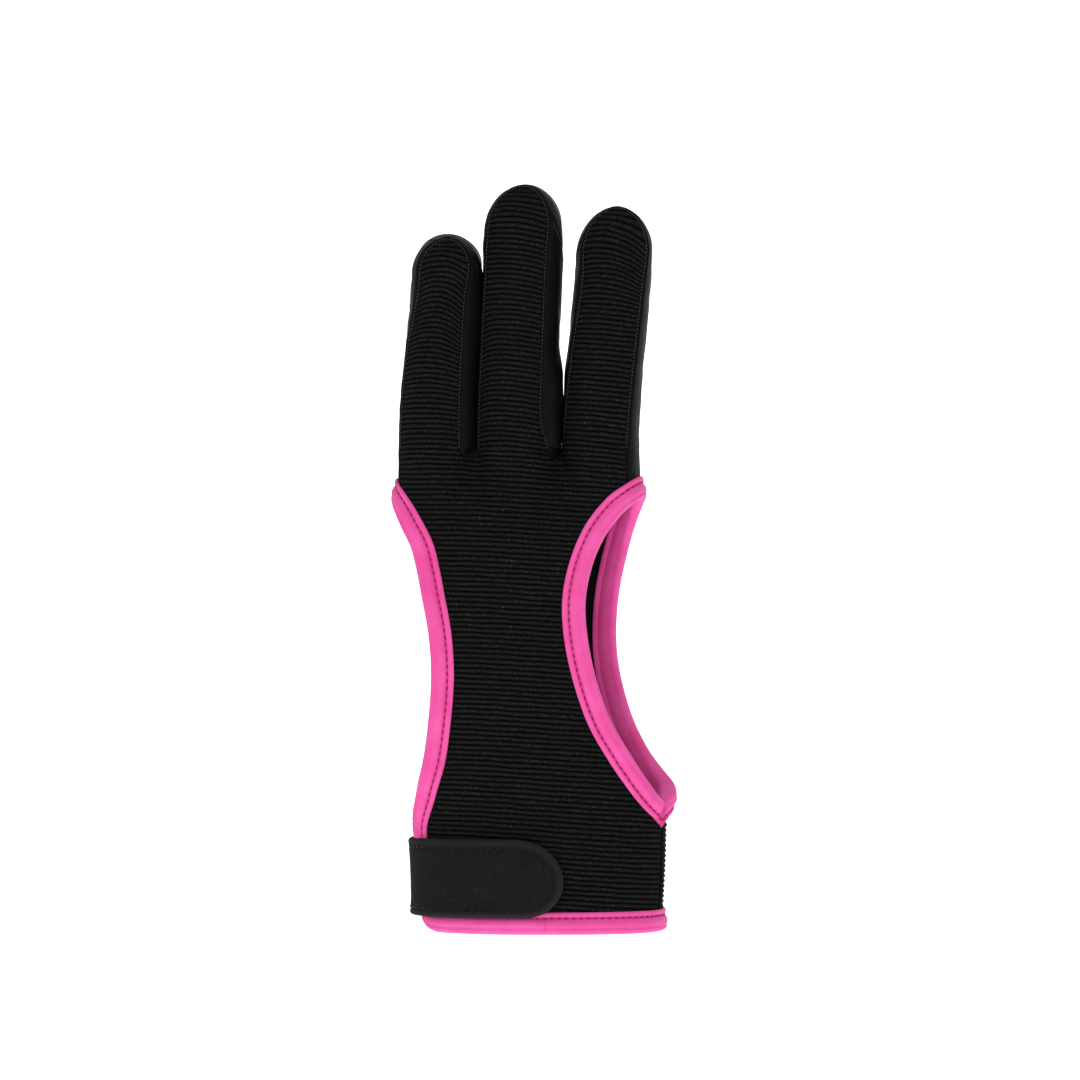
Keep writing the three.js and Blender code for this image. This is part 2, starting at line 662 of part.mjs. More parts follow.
// A folded binding along a closed path of stations, its leaves lying on both faces of the panel's edge.
// Seen from outside, the panel lies to the right of the path.
function binding(path) {
  const rings = path.map((station, i) => {
    const back = station.point.clone().sub(path.at(i - 1).point).normalize();
    const ahead = path[(i + 1) % path.length].point.clone().sub(station.point).normalize();
    const { round, up } = handSlopes(station.turn, station.height);
    const out = round.clone().cross(up).normalize();
    const into = back.clone().add(ahead).cross(out).normalize();
    const mitre = Math.min(LONGEST_MITRE, 1 / Math.cos(back.angleTo(ahead) / 2));
    const [a, b, c] = [round.dot(round), round.dot(up), up.dot(up)];
    const [d, e] = [into.dot(round), into.dot(up)];
    const scale = mitre / (a * c - b * b);
    const [turns, rises] = [(d * c - e * b) * scale, (e * a - d * b) * scale];
    return BINDING_PROFILE.map((corner) => {
      const place = handPlace(station.turn + turns * corner.into, station.height + rises * corner.into);
      return place.point.addScaledVector(place.out, corner.out);
    });
  });
  const size = BINDING_PROFILE.length;
  const faces = rings.flatMap((_, r) => BINDING_PROFILE.flatMap((__, c) => {
    const [here, next] = [r * size, (r + 1) % rings.length * size];
    const beside = (c + 1) % size;
    return [[here + c, next + c, next + beside], [here + c, next + beside, here + beside]];
  }));
  return solid(rings.flat(), faces);
}

// Strap

const STRAP_COLUMNS = 26;
const STRAP_ROWS = [-1, -0.93, -0.72, -0.36, 0, 0.36, 0.72, 0.93, 1];
const STRAP_LIFT = LEAF_TOP + 2 * SEAM_GAP;

function strapEnd(height, row) {
  const { middle, half } = handSection(height);
  const x = STRAP_REACH - STRAP_HEIGHT / 2 * (1 - Math.sqrt(1 - row * row));
  return Math.asin(signedPower(clamp((x - middle) / half, -1, 1), SQUARENESS / 2)) / DEGREE;
}

function wristStrap() {
  const skin = new Skin();
  skin.grid(STRAP_ROWS.map((row) => {
    const height = STRAP_FOOT + STRAP_HEIGHT * (1 + row) / 2;
    return steps(STRAP_ROOT, strapEnd(height, row), STRAP_COLUMNS).map((turn) => handPlace(turn, height));
  }));
  return wallFrom(skin, STRAP_THICKNESS, STRAP_LIFT + STRAP_THICKNESS);
}

// The glove

const glove = new THREE.Group();
const [ring, middle, index] = FINGERS;
const pieces = [
  ['back_panel', backPanel(), CLOTH],
  ['palm_panel', palmPanel(), LEATHER],
  ['palm_cuff', palmCuff(), CLOTH],
  ['fourchette_ring_middle', fourchette(ring, middle), LEATHER],
  ['fourchette_middle_index', fourchette(middle, index), LEATHER],
  ['thumb_binding', binding(thumbStations.toReversed()), PINK],
  ['edge_binding', binding(edgeStations), PINK],
  ['wrist_strap', wristStrap(), FELT],
];
for (const [name, geometry, look] of pieces) {
  const mesh = new THREE.Mesh(geometry, new THREE.MeshStandardMaterial(look));
  mesh.name = name;
  glove.add(mesh);
}

export default glove;
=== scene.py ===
"""Three-finger archery glove: ribbed back, leather palm, pink bound openings and a wrist strap.

Lengths are in millimetres until a mesh is made. Places on the hand are given by a turn in degrees,
0 at the middle of the back, 90 at the thumb's side and 180 at the middle of the palm, and by a height.
"""

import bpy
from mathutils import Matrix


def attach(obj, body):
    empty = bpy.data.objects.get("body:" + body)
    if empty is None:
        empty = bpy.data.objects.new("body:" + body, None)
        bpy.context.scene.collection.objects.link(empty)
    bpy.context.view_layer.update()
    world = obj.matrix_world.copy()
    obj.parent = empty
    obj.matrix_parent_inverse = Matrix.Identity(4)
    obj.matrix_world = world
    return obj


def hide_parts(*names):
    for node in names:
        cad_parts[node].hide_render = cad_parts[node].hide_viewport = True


bl_info = {
    "name": "Archery glove",
    "version": (1, 0, 0),
    "blender": (4, 5, 0),
    "location": "3D View > Sidebar > Glove",
    "description": "Makes the cloth, leather, bindings, strap and stitches of an archery glove",
    "category": "Add Mesh",
}

import bpy
import numpy as np
from bpy.props import FloatProperty, FloatVectorProperty, IntProperty, PointerProperty
from mathutils import Vector
from mathutils.kdtree import KDTree

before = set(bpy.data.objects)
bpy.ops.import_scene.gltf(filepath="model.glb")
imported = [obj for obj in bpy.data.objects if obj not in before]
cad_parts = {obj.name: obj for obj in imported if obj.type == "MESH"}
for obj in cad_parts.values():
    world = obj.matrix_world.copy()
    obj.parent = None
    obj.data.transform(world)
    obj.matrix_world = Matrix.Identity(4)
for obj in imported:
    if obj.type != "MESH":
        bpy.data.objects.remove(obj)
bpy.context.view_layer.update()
MM = 0.001

# Hand and fingers, as in the solids.
HAND_LENGTH, HAND_BREADTH, HAND_DEPTH, SQUARENESS, KNUCKLE_RUN = 133.0, 75.0, 40.0, 2.4, 28.0
FINGER_DEPTH, TIP_DEPTH, FINGER_SET, CURL = 21.0, 18.0, -1.5, 5.0
RING_GAP, INDEX_GAP, MIDDLE_SET = 1.4, 2.2, -7.4
PALM_SEAM, CROTCH_DIP, SIDE_SEAM = 140.0, 2.2, 72.0
WALL, WEB_WALL, SEAM_GAP, CUFF_HEIGHT = 1.2, 1.0, 0.06, 30.0
HALF_GAP = SEAM_GAP / 2
HEM_CORNER, WRIST_EDGE, EDGE_INSET = 8.0, 78.0, 1.6
STRAP_HEIGHT, STRAP_FOOT, STRAP_REACH, STRAP_ROOT = 21.6, 4.1, 5.8, -165.0
STRAP_LIFT, STRAP_BODY = 1.05, 1.9        # as drawn: what it presses on is squeezed flat
STRIP_NARROWS, STRIP_LAST = 0.55, 40.0
TURN_MARGIN = 0.5            # degrees the side seam's two panels keep apart

# Shares of a finger's width: lean towards the thumb, height of the rounded tip, leather above the back.
FINGERS = {
    "ring": {"width": 20.1, "length": 60.1, "lean": 0.184, "dome": 0.55, "cap": 0.095},
    "middle": {"width": 21.8, "length": 73.8, "lean": 0.12, "dome": 0.6, "cap": 0.03},
    "index": {"width": 21.4, "length": 67.5, "lean": 0.2, "dome": 0.61, "cap": 0.02},
}
for name, finger in FINGERS.items():
    finger["name"] = name
RING, MIDDLE, INDEX = FINGERS.values()
MIDDLE["base"] = MIDDLE_SET
RING["base"] = MIDDLE_SET - MIDDLE["width"] / 2 - RING_GAP - RING["width"] / 2
INDEX["base"] = MIDDLE_SET + MIDDLE["width"] / 2 + INDEX_GAP + INDEX["width"] / 2
ULNAR_SIDE = RING["base"] - RING["width"] / 2
RADIAL_SIDE = INDEX["base"] + INDEX["width"] / 2

# Rows of rise, then the leather shown at a finger's left and right side.
MARGINS = {
    "ring": [
        (0, 0.025, 0.144), (0.2, 0.025, 0.165), (0.45, 0.035, 0.195), (0.7, 0.11, 0.215), (0.88, 0.12, 0.165),
    ],
    "middle": [
        (0, 0.03, 0.08), (0.1, 0.03, 0.165), (0.2, 0.03, 0.18), (0.45, 0.03, 0.19), (0.7, 0.03, 0.2),
        (0.88, 0.04, 0.17),
    ],
    "index": [
        (0, 0.005, 0.165), (0.2, 0.025, 0.145), (0.45, 0.055, 0.125), (0.7, 0.095, 0.105), (0.88, 0.06, 0.07),
    ],
}
# Rows of rise, then the hand's ulnar side, radial side and depth.
HAND = [
    (0, -0.44, 0.444, 0.5), (0.195, -0.468, 0.46, 0.475), (0.45, -0.56, 0.453, 0.438),
    (0.677, -0.587, 0.413, 0.4), (0.827, -0.56, 0.38, 0.375), (0.917, -0.535, 0.367, 0.34),
    (1, ULNAR_SIDE / HAND_BREADTH, RADIAL_SIDE / HAND_BREADTH, 0.3),
]
# Rows of rise and turn round the two openings.
THUMB_OPENING = [
    (0.264, SIDE_SEAM), (0.286, 61.5), (0.32, 51.5), (0.376, 40.5), (0.451, 31), (0.564, 25.4), (0.677, 25),
    (0.752, 29.5), (0.812, 37.4), (0.86, 50), (0.886, 64), (0.9, 84), (0.877, 105), (0.81, 122), (0.69, 136),
    (0.56, 140), (0.433, 133), (0.335, 114), (0.294, 92), (0.264, SIDE_SEAM),
]
OPEN_SIDE = [
    (0.13, -WRIST_EDGE), (0.215, -77), (0.29, -62.8), (0.361, -49.7), (0.436, -42), (0.526, -37.4),
    (0.61, -37.4), (0.684, -40.7), (0.737, -44.5), (0.79, -50.7), (0.835, -62), (0.868, -74), (0.895, -92),
    (0.89, -108), (0.855, -121), (0.79, -131), (0.684, -139), (0.526, -142), (0.4, -134), (0.29, -118),
    (0.215, -104), (0.13, WRIST_EDGE - 180),
]


# Surfaces

def lerp(a, b, t):
    return a + (b - a) * t


def smoothstep(value, low, high):
    t = np.clip((value - low) / (high - low), 0, 1)
    return t * t * (3 - 2 * t)


def signed_power(value, exponent):
    return np.sign(value) * np.abs(value) ** exponent


def sin(degrees):
    return np.sin(np.radians(degrees))


def cos(degrees):
    return np.cos(np.radians(degrees))


def unit(vectors):
    return vectors / np.maximum(np.linalg.norm(vectors, axis=-1, keepdims=True), 1e-9)


def reading(rows, column, rise):
    """Smooth reading of one column of a table, between its rows."""
    rises = np.array([row[0] for row in rows], float)
    values = np.array([row[column] for row in rows], float)
    i = np.clip(np.searchsorted(rises, rise, side="left") - 1, 0, len(rises) - 2)
    before, after = np.maximum(i - 1, 0), np.minimum(i + 2, len(rises) - 1)
    span = rises[i + 1] - rises[i]
    t = np.clip((rise - rises[i]) / span, 0, 1)
    slope_a = (values[i + 1] - values[before]) / (rises[i + 1] - rises[before]) * span
    slope_b = (values[after] - values[i]) / (rises[after] - rises[i]) * span
    bend = (t**3 - 2 * t**2 + t) * slope_a + (t**3 - t**2) * slope_b
    return lerp(values[i], values[i + 1], t * t * (3 - 2 * t)) + bend


def finger_level(finger, level):
    """Rise, its share, the angle over the tip and the tip's height. A level is 0 to 1 on the straight part and
    1 to 2 over the tip."""
    dome = finger["dome"] * finger["width"]
    angle = np.clip(level - 1, 0, 1) * 90
    rise = np.minimum(level, 1) * (finger["length"] - dome) + dome * sin(angle)
    return rise, rise / finger["length"], angle, dome


def finger_place(finger, around, level):
    rise, share, angle, dome = finger_level(finger, level)
    wide, deep = finger["width"] / 2, lerp(FINGER_DEPTH, TIP_DEPTH, share) / 2
    narrow = cos(angle)
    leant = finger["base"] + finger["lean"] * finger["width"] * smoothstep(share, 0, 1)
    x = leant + wide * narrow * sin(around)
    y = FINGER_SET + CURL * share * share - deep * narrow * cos(around)
    point = np.stack(np.broadcast_arrays(x, y, HAND_LENGTH + rise), -1)
    ways = narrow * sin(around) / wide, -narrow * cos(around) / deep, sin(angle) / dome
    return point, unit(np.stack(np.broadcast_arrays(*ways), -1))


def cap_angle(finger, inset):
    dome = finger["dome"] * finger["width"]
    return np.degrees(np.arcsin(1 - finger["cap"] * finger["width"] / dome) - inset / (TIP_DEPTH / 2))


def back_seam(finger, side, level, inset):
    """Degrees round a finger from its back to the back panel's seam, which arches over the tip."""
    _, share, angle, _ = finger_level(finger, level)
    wide, straight = finger["width"] / 2, finger_level(finger, 1.0)[1]
    column = 1 if side == "left" else 2
    margin = reading(MARGINS[finger["name"]], column, np.minimum(share, straight)) * finger["width"]
    arch = np.sqrt(np.maximum(0, 1 - (sin(angle) / sin(cap_angle(finger, inset))) ** 2))
    sine = np.clip((1 - margin / wide) * arch / np.maximum(cos(angle), 1e-6), 0, 1)
    return np.degrees(np.arcsin(sine) - arch * inset / wide)


def arch_level(finger, step, inset):
    return 1 + np.degrees(np.arcsin(sin(cap_angle(finger, inset)) * sin(step))) / 90


def palm_seam(finger, side, level):
    last = finger_level(finger, arch_level(finger, STRIP_LAST, 0))[1]
    narrowed = smoothstep(finger_level(finger, level)[1], STRIP_NARROWS, last)
    return lerp(PALM_SEAM, back_seam(finger, side, level, 0), narrowed)


def hand_section(height):
    rise = np.asarray(height, float) / HAND_LENGTH
    ulnar, radial = (reading(HAND, column, rise) * HAND_BREADTH for column in (1, 2))
    return (ulnar + radial) / 2, (radial - ulnar) / 2, reading(HAND, 3, rise) * HAND_DEPTH


def knuckle_depth(x, face):
    """Depth of the three fingers' section at x, where they part. It is level across the gaps."""
    def on_strip(finger, place):
        share = np.clip((place - finger["base"]) / (finger["width"] / 2), -1, 1)
        return FINGER_SET + face * FINGER_DEPTH / 2 * np.sqrt(1 - share * share)

    strips = []
    for i, finger in enumerate(FINGERS.values()):
        seams = [back_seam(finger, side, 0.0, 0) if face < 0 else PALM_SEAM for side in ("left", "right")]
        low = finger["base"] - finger["width"] / 2 * (1 if i == 0 else sin(seams[0]))
        high = finger["base"] + finger["width"] / 2 * (1 if i == 2 else sin(seams[1]))
        strips.append((finger, low, high))
    depth = on_strip(INDEX, x)
    for (finger, _, high), (after, low, _) in reversed(list(zip(strips, strips[1:]))):
        across = np.clip((x - high) / (low - high), 0, 1)
        between = lerp(on_strip(finger, high), on_strip(after, low), across)
        depth = np.where(x < low, np.where(x > high, between, on_strip(finger, x)), depth)
    return depth


VALLEY_SPREAD = 5.0          # how far the valleys between the fingers spread as they run out on the hand


def hand_point(turn, height):
    middle, half, depth = hand_section(height)
    knuckle_middle, knuckle_half, _ = hand_section(HAND_LENGTH)
    share = signed_power(sin(turn), 2 / SQUARENESS)
    plain = -depth * signed_power(cos(turn), 2 / SQUARENESS)
    across = knuckle_middle + knuckle_half * share
    spread = VALLEY_SPREAD * (1 - smoothstep(height, HAND_LENGTH - 16, HAND_LENGTH - 1))
    spread = np.minimum(spread, 0.8 * (knuckle_half - np.abs(across - knuckle_middle)))
    fingered = sum(
        np.where(cos(turn) > 0, knuckle_depth(across + k * spread, -1), knuckle_depth(across + k * spread, 1))
        for k in (-1, -0.5, 0, 0.5, 1)) / 5
    y = lerp(plain, fingered, smoothstep(height, HAND_LENGTH - KNUCKLE_RUN, HAND_LENGTH))
    return np.stack(np.broadcast_arrays(middle + half * share, y, height), -1)


def hand_slopes(turn, height, turn_step=1.5, height_step=1.0):
    around = (hand_point(turn + turn_step, height) - hand_point(turn - turn_step, height)) / (2 * turn_step)
    up = (hand_point(turn, height + height_step) - hand_point(turn, height - height_step)) / (2 * height_step)
    return around, up


def hand_place(turn, height):
    return hand_point(turn, height), unit(np.cross(*hand_slopes(turn, height)))


def turn_at(x, height, palm=False):
    middle, half, _ = hand_section(height)
    turn = np.degrees(np.arcsin(signed_power(np.clip((x - middle) / half, -1, 1), SQUARENESS / 2)))
    return 180 - turn if palm else turn


def turn_on_finger(finger, around):
    """Turn on the hand of a place on a finger's section where the fingers part."""
    x = finger["base"] + finger["width"] / 2 * sin(around)
    turn = turn_at(x, HAND_LENGTH)
    return np.where(cos(around) < 0, 180 - turn, np.where(around > 180, turn + 360, turn))


RIPPLE_WAVES = 7


def ripple(points, size, seed):
    """A smooth, repeatable unevenness from -1 to 1 over a set of points."""
    draw = np.random.default_rng(seed)
    ways = unit(draw.normal(size=(RIPPLE_WAVES, 3))) * draw.uniform(0.6, 1.5, (RIPPLE_WAVES, 1))
    starts = draw.uniform(0, 2 * np.pi, RIPPLE_WAVES)
    return np.sin(points @ ways.T * (2 * np.pi / size) + starts).mean(-1) * 1.6


# Openings

def opening_curve(rows, steps=3000):
    """Turns and heights along a centripetal curve through an opening's rows."""
    knots = np.array([(turn, rise * HAND_LENGTH) for rise, turn in rows], float)
    knots = np.vstack([2 * knots[0] - knots[1], knots, 2 * knots[-1] - knots[-2]])
    gaps = np.linalg.norm(np.diff(knots, axis=0), axis=1) ** 0.5
    place = np.linspace(0, len(rows) - 1, steps)
    i = np.minimum(place.astype(int), len(rows) - 2)
    t = (place - i)[:, None]
    a, b, c, d = (knots[i + k] for k in range(4))
    ga, gb, gc = (gaps[i + k][:, None] for k in range(3))
    slope_b = ((b - a) / ga - (c - a) / (ga + gb) + (c - b) / gb) * gb
    slope_c = ((c - b) / gb - (d - b) / (gb + gc) + (d - c) / gc) * gb
    square, cube = 3 * (c - b) - 2 * slope_b - slope_c, 2 * (b - c) + slope_b + slope_c
    return b + slope_b * t + square * t**2 + cube * t**3


def along(points):
    return np.concatenate([[0], np.cumsum(np.linalg.norm(np.diff(points, axis=0), axis=1))])


def read_along(at, run, rows):
    """Rows of numbers read at lengths along a run."""
    return np.stack([np.interp(at, run, column) for column in rows.T], -1)


def even(curve, step):
    """Stations a step apart along a curve of turns and heights; the last one is the curve's end."""
    run = along(hand_point(*curve.T))
    places = np.linspace(0, run[-1], max(2, round(run[-1] / step)) + 1)
    return read_along(places, run, curve)


def hem_corner(turn, towards):
    around, _ = hand_slopes(turn, HEM_CORNER / 2)
    angles = np.array([0, 0.35, 0.7, 1]) * 90
    aside = HEM_CORNER * (1 - sin(angles)) / np.linalg.norm(around)
    return [(r, t) for r, t in zip(HEM_CORNER * (1 - cos(angles)) / HAND_LENGTH, turn + towards * aside)]


BACK_CORNER = hem_corner(-WRIST_EDGE, 1)
PALM_CORNER = hem_corner(WRIST_EDGE - 180, -1)[::-1]
SIDE_ROWS = BACK_CORNER + OPEN_SIDE + PALM_CORNER
HEM_FROM, HEM_TO = PALM_CORNER[-1][1], BACK_CORNER[0][1] - 360
HEM_ROWS = [(0.0, turn) for turn in np.linspace(HEM_FROM, HEM_TO, 15)[1:-1]]
THUMB_CURVE = opening_curve(THUMB_OPENING)
SIDE_CURVE = opening_curve(SIDE_ROWS)
EDGE_CURVE = opening_curve(SIDE_ROWS + HEM_ROWS + [(BACK_CORNER[0][0], HEM_TO)], 5000)


def clear_of(curve, turns, heights, closed=()):
    """Distance from places on the hand to an opening's edge, negative inside the opening."""
    points = hand_point(turns, heights).reshape(-1, 3)
    away = nearest(hand_point(*even(curve, 0.4).T), points).reshape(turns.shape)
    outline = np.vstack([even(curve, 3), *closed])
    inside = np.zeros(turns.shape, bool)
    for (t0, h0), (t1, h1) in zip(outline, np.roll(outline, -1, axis=0)):
        if h0 == h1:
            continue
        spans = (h0 > heights) != (h1 > heights)
        inside ^= spans & (turns < t0 + (t1 - t0) * (heights - h0) / (h1 - h0))
    return np.where(inside, -away, away)


def on_panel(turns, heights):
    """Distance in from the openings' edges, less what the bindings' folds take up."""
    turns, heights = np.broadcast_arrays(turns, heights)
    folded = (turns + 270) % 360 - 270
    ends = [[(SIDE_CURVE[-1][0], -50)], [(SIDE_CURVE[0][0], -50)]]
    side = clear_of(SIDE_CURVE, folded, heights, ends)
    return np.minimum(clear_of(THUMB_CURVE, turns, heights), side) - EDGE_INSET


# Meshes

WELDED = 1e-3                # points this near are one
RIM_SPACING = 0.25


class Cloth:
    """A sheet of faces in one or more patches, each a grid of places, ways out and named numbers."""

    numbers = ("u", "v", "rib", "ribbing", "lift", "depth", "turned")

    def __init__(self):
        self.rows, self.faces, self.count = [], [], 0

    def patch(self, points, outs, value=None, **numbers):
        rows, columns = points.shape[:2]
        extra = [np.broadcast_to(numbers.get(n, 0.0), (rows, columns))[..., None] for n in self.numbers]
        data = np.concatenate([points, outs, *extra], -1).reshape(rows * columns, -1)
        index = np.arange(rows * columns).reshape(rows, columns)
        cells = np.stack([index[:-1, :-1], index[:-1, 1:], index[1:, 1:], index[1:, :-1]], -1).reshape(-1, 4)
        value = np.ones(rows * columns) if value is None else np.asarray(value, float).ravel()
        kept = value[cells] >= 0
        faces = [tuple(cell) for cell in cells[kept.all(1)]]
        crossings, added = {}, []
        for cell in cells[kept.any(1) & ~kept.all(1)]:
            corners = []
            for a, b in zip(cell, np.roll(cell, -1)):
                if value[a] >= 0:
                    corners.append(a)
                if (value[a] >= 0) != (value[b] >= 0):
                    key = (min(a, b), max(a, b))
                    if key not in crossings:
                        t = value[a] / (value[a] - value[b])
                        crossings[key] = len(data) + len(added)
                        added.append(data[a] * (1 - t) + data[b] * t)
                    corners.append(crossings[key])
            faces.append(tuple(corners))
        self.rows.append(np.vstack([data, *added]) if added else data)
        self.faces += [tuple(corner + self.count for corner in face) for face in faces]
        self.count += len(data) + len(added)

    def shell(self, name, wall, finish, hemmed=True):
        """A closed wall: the outer face lifted where the patches say so, the inner one a wall below. A hemmed
        one has its edges turned down into the seams, and no ribs or creases there."""
        data = np.vstack(self.rows)
        cells = np.round(data[:, :3] / WELDED)
        _, first, same = np.unique(cells, axis=0, return_index=True, return_inverse=True)
        same = same.ravel()
        faces = []
        for face in self.faces:
            corners = [same[corner] for corner in face]
            corners = [c for c, before in zip(corners, corners[-1:] + corners[:-1]) if c != before]
            if len(set(corners)) > 2:
                faces.append(corners)
        used = np.unique(np.concatenate([np.array(face) for face in faces]))
        place = np.full(len(first), -1)
        place[used] = np.arange(len(used))
        data = data[first[used]]
        faces = [[int(place[corner]) for corner in face] for face in faces]
        edges = {(a, b) for face in faces for a, b in zip(face, face[1:] + face[:1])}
        rim = [(a, b) for a, b in edges if (b, a) not in edges]
        count = len(data)
        points, outs = data[:, :3], unit(data[:, 3:6])
        numbers = dict(zip(self.numbers, data[:, 6:].T))
        if hemmed:
            inward = from_rim(points, rim)
            numbers["ribbing"] = numbers["ribbing"] * smoothstep(inward, 0.35, 1.3)
            numbers["lift"] = numbers["lift"] * smoothstep(inward, 0.3, 1.4)
            numbers["lift"] = numbers["lift"] + seam_roll(inward, numbers["turned"])
        outer = points + outs * numbers["lift"][:, None]
        inner = points - outs * wall
        walls = faces + [[c + count for c in reversed(face)] for face in faces]
        walls += [[b, a, a + count, b + count] for a, b in rim]
        obj = solid(name, np.vstack([outer, inner]), walls, finish)
        bare = np.zeros(count)
        per_point(obj, "rib", np.tile(numbers["rib"], 2))
        per_point(obj, "ribbing", np.concatenate([numbers["ribbing"], bare]))
        per_point(obj, "depth", np.concatenate([numbers["depth"], bare]))
        per_point(obj, "outward", np.vstack([outs, -outs]))
        unwrapped(obj, np.tile(np.stack([numbers["u"], numbers["v"]], -1), (2, 1)))
        return obj


def from_rim(points, rim):
    """Distance from each point to the nearest edge of a sheet."""
    spots = []
    for a, b in rim:
        count = max(1, int(np.linalg.norm(points[a] - points[b]) / RIM_SPACING))
        spots.append(lerp(points[a], points[b], np.arange(count)[:, None] / count))
    return nearest(np.vstack(spots), points)


def nearest(spots, points):
    """Distance from each point to the nearest of the spots."""
    tree = KDTree(len(spots))
    for i, spot in enumerate(spots):
        tree.insert(spot, i)
    tree.balance()
    return np.array([tree.find(point)[2] for point in points])


def solid(name, points, faces, finish):
    """A smooth object at the origin from points in millimetres; faces point outwards."""
    mesh = bpy.data.meshes.new(name)
    mesh.from_pydata((np.asarray(points) * MM).tolist(), [], [list(map(int, face)) for face in faces])
    mesh.update()
    places = np.asarray(points)
    corners = (places[list(p.vertices[:3])] for p in mesh.polygons)
    volume = sum(float(a @ np.cross(b, c)) for a, b, c in corners)
    if volume < 0:
        mesh.flip_normals()
    mesh.shade_smooth()
    obj = bpy.data.objects.new(name, mesh)
    bpy.context.collection.objects.link(obj)
    mesh.materials.append(finish)
    return obj


def per_point(obj, name, values):
    values = np.asarray(values, np.float32)
    if values.ndim == 1:
        obj.data.attributes.new(name, "FLOAT", "POINT").data.foreach_set("value", values)
    else:
        obj.data.attributes.new(name, "FLOAT_VECTOR", "POINT").data.foreach_set("vector", values.ravel())


def unwrapped(obj, places):
    """Gives a mesh a UV map in metres from a place for each of its points."""
    mesh = obj.data
    corners = np.zeros(len(mesh.loops), int)
    mesh.loops.foreach_get("vertex_index", corners)
    mesh.uv_layers.new(name="cut").uv.foreach_set("vector", (places[corners] * MM).astype(np.float32).ravel())


# Node trees

class Wire:
    """A node's output that takes part in sums written in Python."""

    def __init__(self, tree, socket):
        self.tree, self.socket = tree, socket

    def maths(self, operation, *values):
        return self.tree.node("ShaderNodeMath", {"operation": operation}, *values)

    def __add__(self, other):
        return self.maths("ADD", self, other)

    def __sub__(self, other):
        return self.maths("SUBTRACT", self, other)

    def __rsub__(self, other):
        return self.maths("SUBTRACT", other, self)

    def __mul__(self, other):
        return self.maths("MULTIPLY", self, other)

    def __pow__(self, other):
        return self.maths("POWER", self, other)

    def __abs__(self):
        return self.maths("ABSOLUTE", self)

    __radd__, __rmul__ = __add__, __mul__

    def sine(self):
        return self.maths("SINE", self)

    def between(self, low, high):
        """0 below low, 1 above high."""
        return self.tree.node("ShaderNodeMapRange", {}, self, low, high, 0.0, 1.0)

    def out(self, name):
        return Wire(self.tree, self.socket.node.outputs[name])


class Tree:
    def __init__(self, nodes):
        self.nodes = nodes

    def node(self, kind, settings=None, *values, **named):
        made = self.nodes.nodes.new(kind)
        for key, value in (settings or {}).items():
            setattr(made, key, value)
        sockets = [(made.inputs[i], value) for i, value in enumerate(values) if value is not None]
        sockets += [(made.inputs[key.replace("_", " ")], value) for key, value in named.items()]
        for socket, value in sockets:
            self.put(socket, value)
        return Wire(self, made.outputs[0])

    def put(self, socket, value):
        if isinstance(value, Wire):
            self.nodes.links.new(value.socket, socket)
        else:
            socket.default_value = value

    def mix(self, factor, a, b):
        """A colour between two, by a factor."""
        mixer = self.nodes.nodes.new("ShaderNodeMix")
        mixer.data_type = "RGBA"
        for i, value in ((0, factor), (6, a), (7, b)):
            self.put(mixer.inputs[i], value)
        return Wire(self, mixer.outputs[2])


def rgba(colour, share=1.0):
    """A socket's colour, all channels taken to one share or each to its own."""
    return (*(float(channel * part) for channel, part in zip(colour, np.broadcast_to(share, 3))), 1.0)


class Finish(Tree):
    """A material on one Principled shader."""

    def __init__(self, name, **constants):
        self.material = bpy.data.materials.new(name)
        self.material.use_nodes = True
        super().__init__(self.material.node_tree)
        self.shader = self.nodes.nodes["Principled BSDF"]
        self.fill(constants)
        self.here = self.node("ShaderNodeTexCoord").out("Object")
        cut = self.node("ShaderNodeUVMap", {"uv_map": "cut"})
        parts = self.node("ShaderNodeSeparateXYZ", {}, cut)
        self.across, self.up = parts.out("X"), parts.out("Y")

    def noise(self, scale, detail=2.0, roughness=0.55, place=None):
        return self.node("ShaderNodeTexNoise", {}, Vector=place or self.here, Scale=scale, Detail=detail,
                         Roughness=roughness)

    def kept(self, name):
        """A number kept on the mesh's points."""
        return self.node("ShaderNodeAttribute", {"attribute_name": name}).out("Fac")

    def bumped(self, height, distance, strength=1.0):
        return self.node("ShaderNodeBump", {}, Height=height, Distance=distance, Strength=strength)

    def fill(self, values):
        for key, value in values.items():
            self.put(self.shader.inputs[key.replace("_", " ")], value)

    def finish(self, **links):
        self.fill(links)
        return self.material


# Sizes and colours

def length(name, default, description):
    return FloatProperty(name=name, description=description, default=default, min=0, unit="LENGTH", precision=5)


def colour(name, default, description):
    return FloatVectorProperty(name=name, description=description, default=default, size=3, subtype="COLOR",
                               min=0, max=1)


class GloveSizes(bpy.types.PropertyGroup):
    rib_pitch: length("Rib pitch", 0.0014, "Distance from one rib of the stretch cloth to the next")
    rib_height: length("Rib height", 0.00058, "Height of a rib over the groove beside it")
    rib_rows: IntProperty(name="Rows in a rib", description="Rows of faces that make one rib", default=5, min=4)
    binding_width: length("Binding width", 0.0058, "Width of the binding on the glove's outside")
    binding_roll: length("Binding roll", 0.0015, "Height of the binding's rolled edge over the cloth")
    groove: length("Groove", 0.0042, "Distance from an opening's edge to the binding's stitched groove")
    stitch_pitch: length("Stitch pitch", 0.002, "Distance from one stitch of a binding to the next")
    stitch_length: length("Stitch length", 0.00135, "Length of one stitch of a binding")
    thread: length("Thread", 0.00046, "Thickness of the thread")
    strap_inset: length("Strap stitching", 0.0024, "Distance from the strap's edge to its stitching")


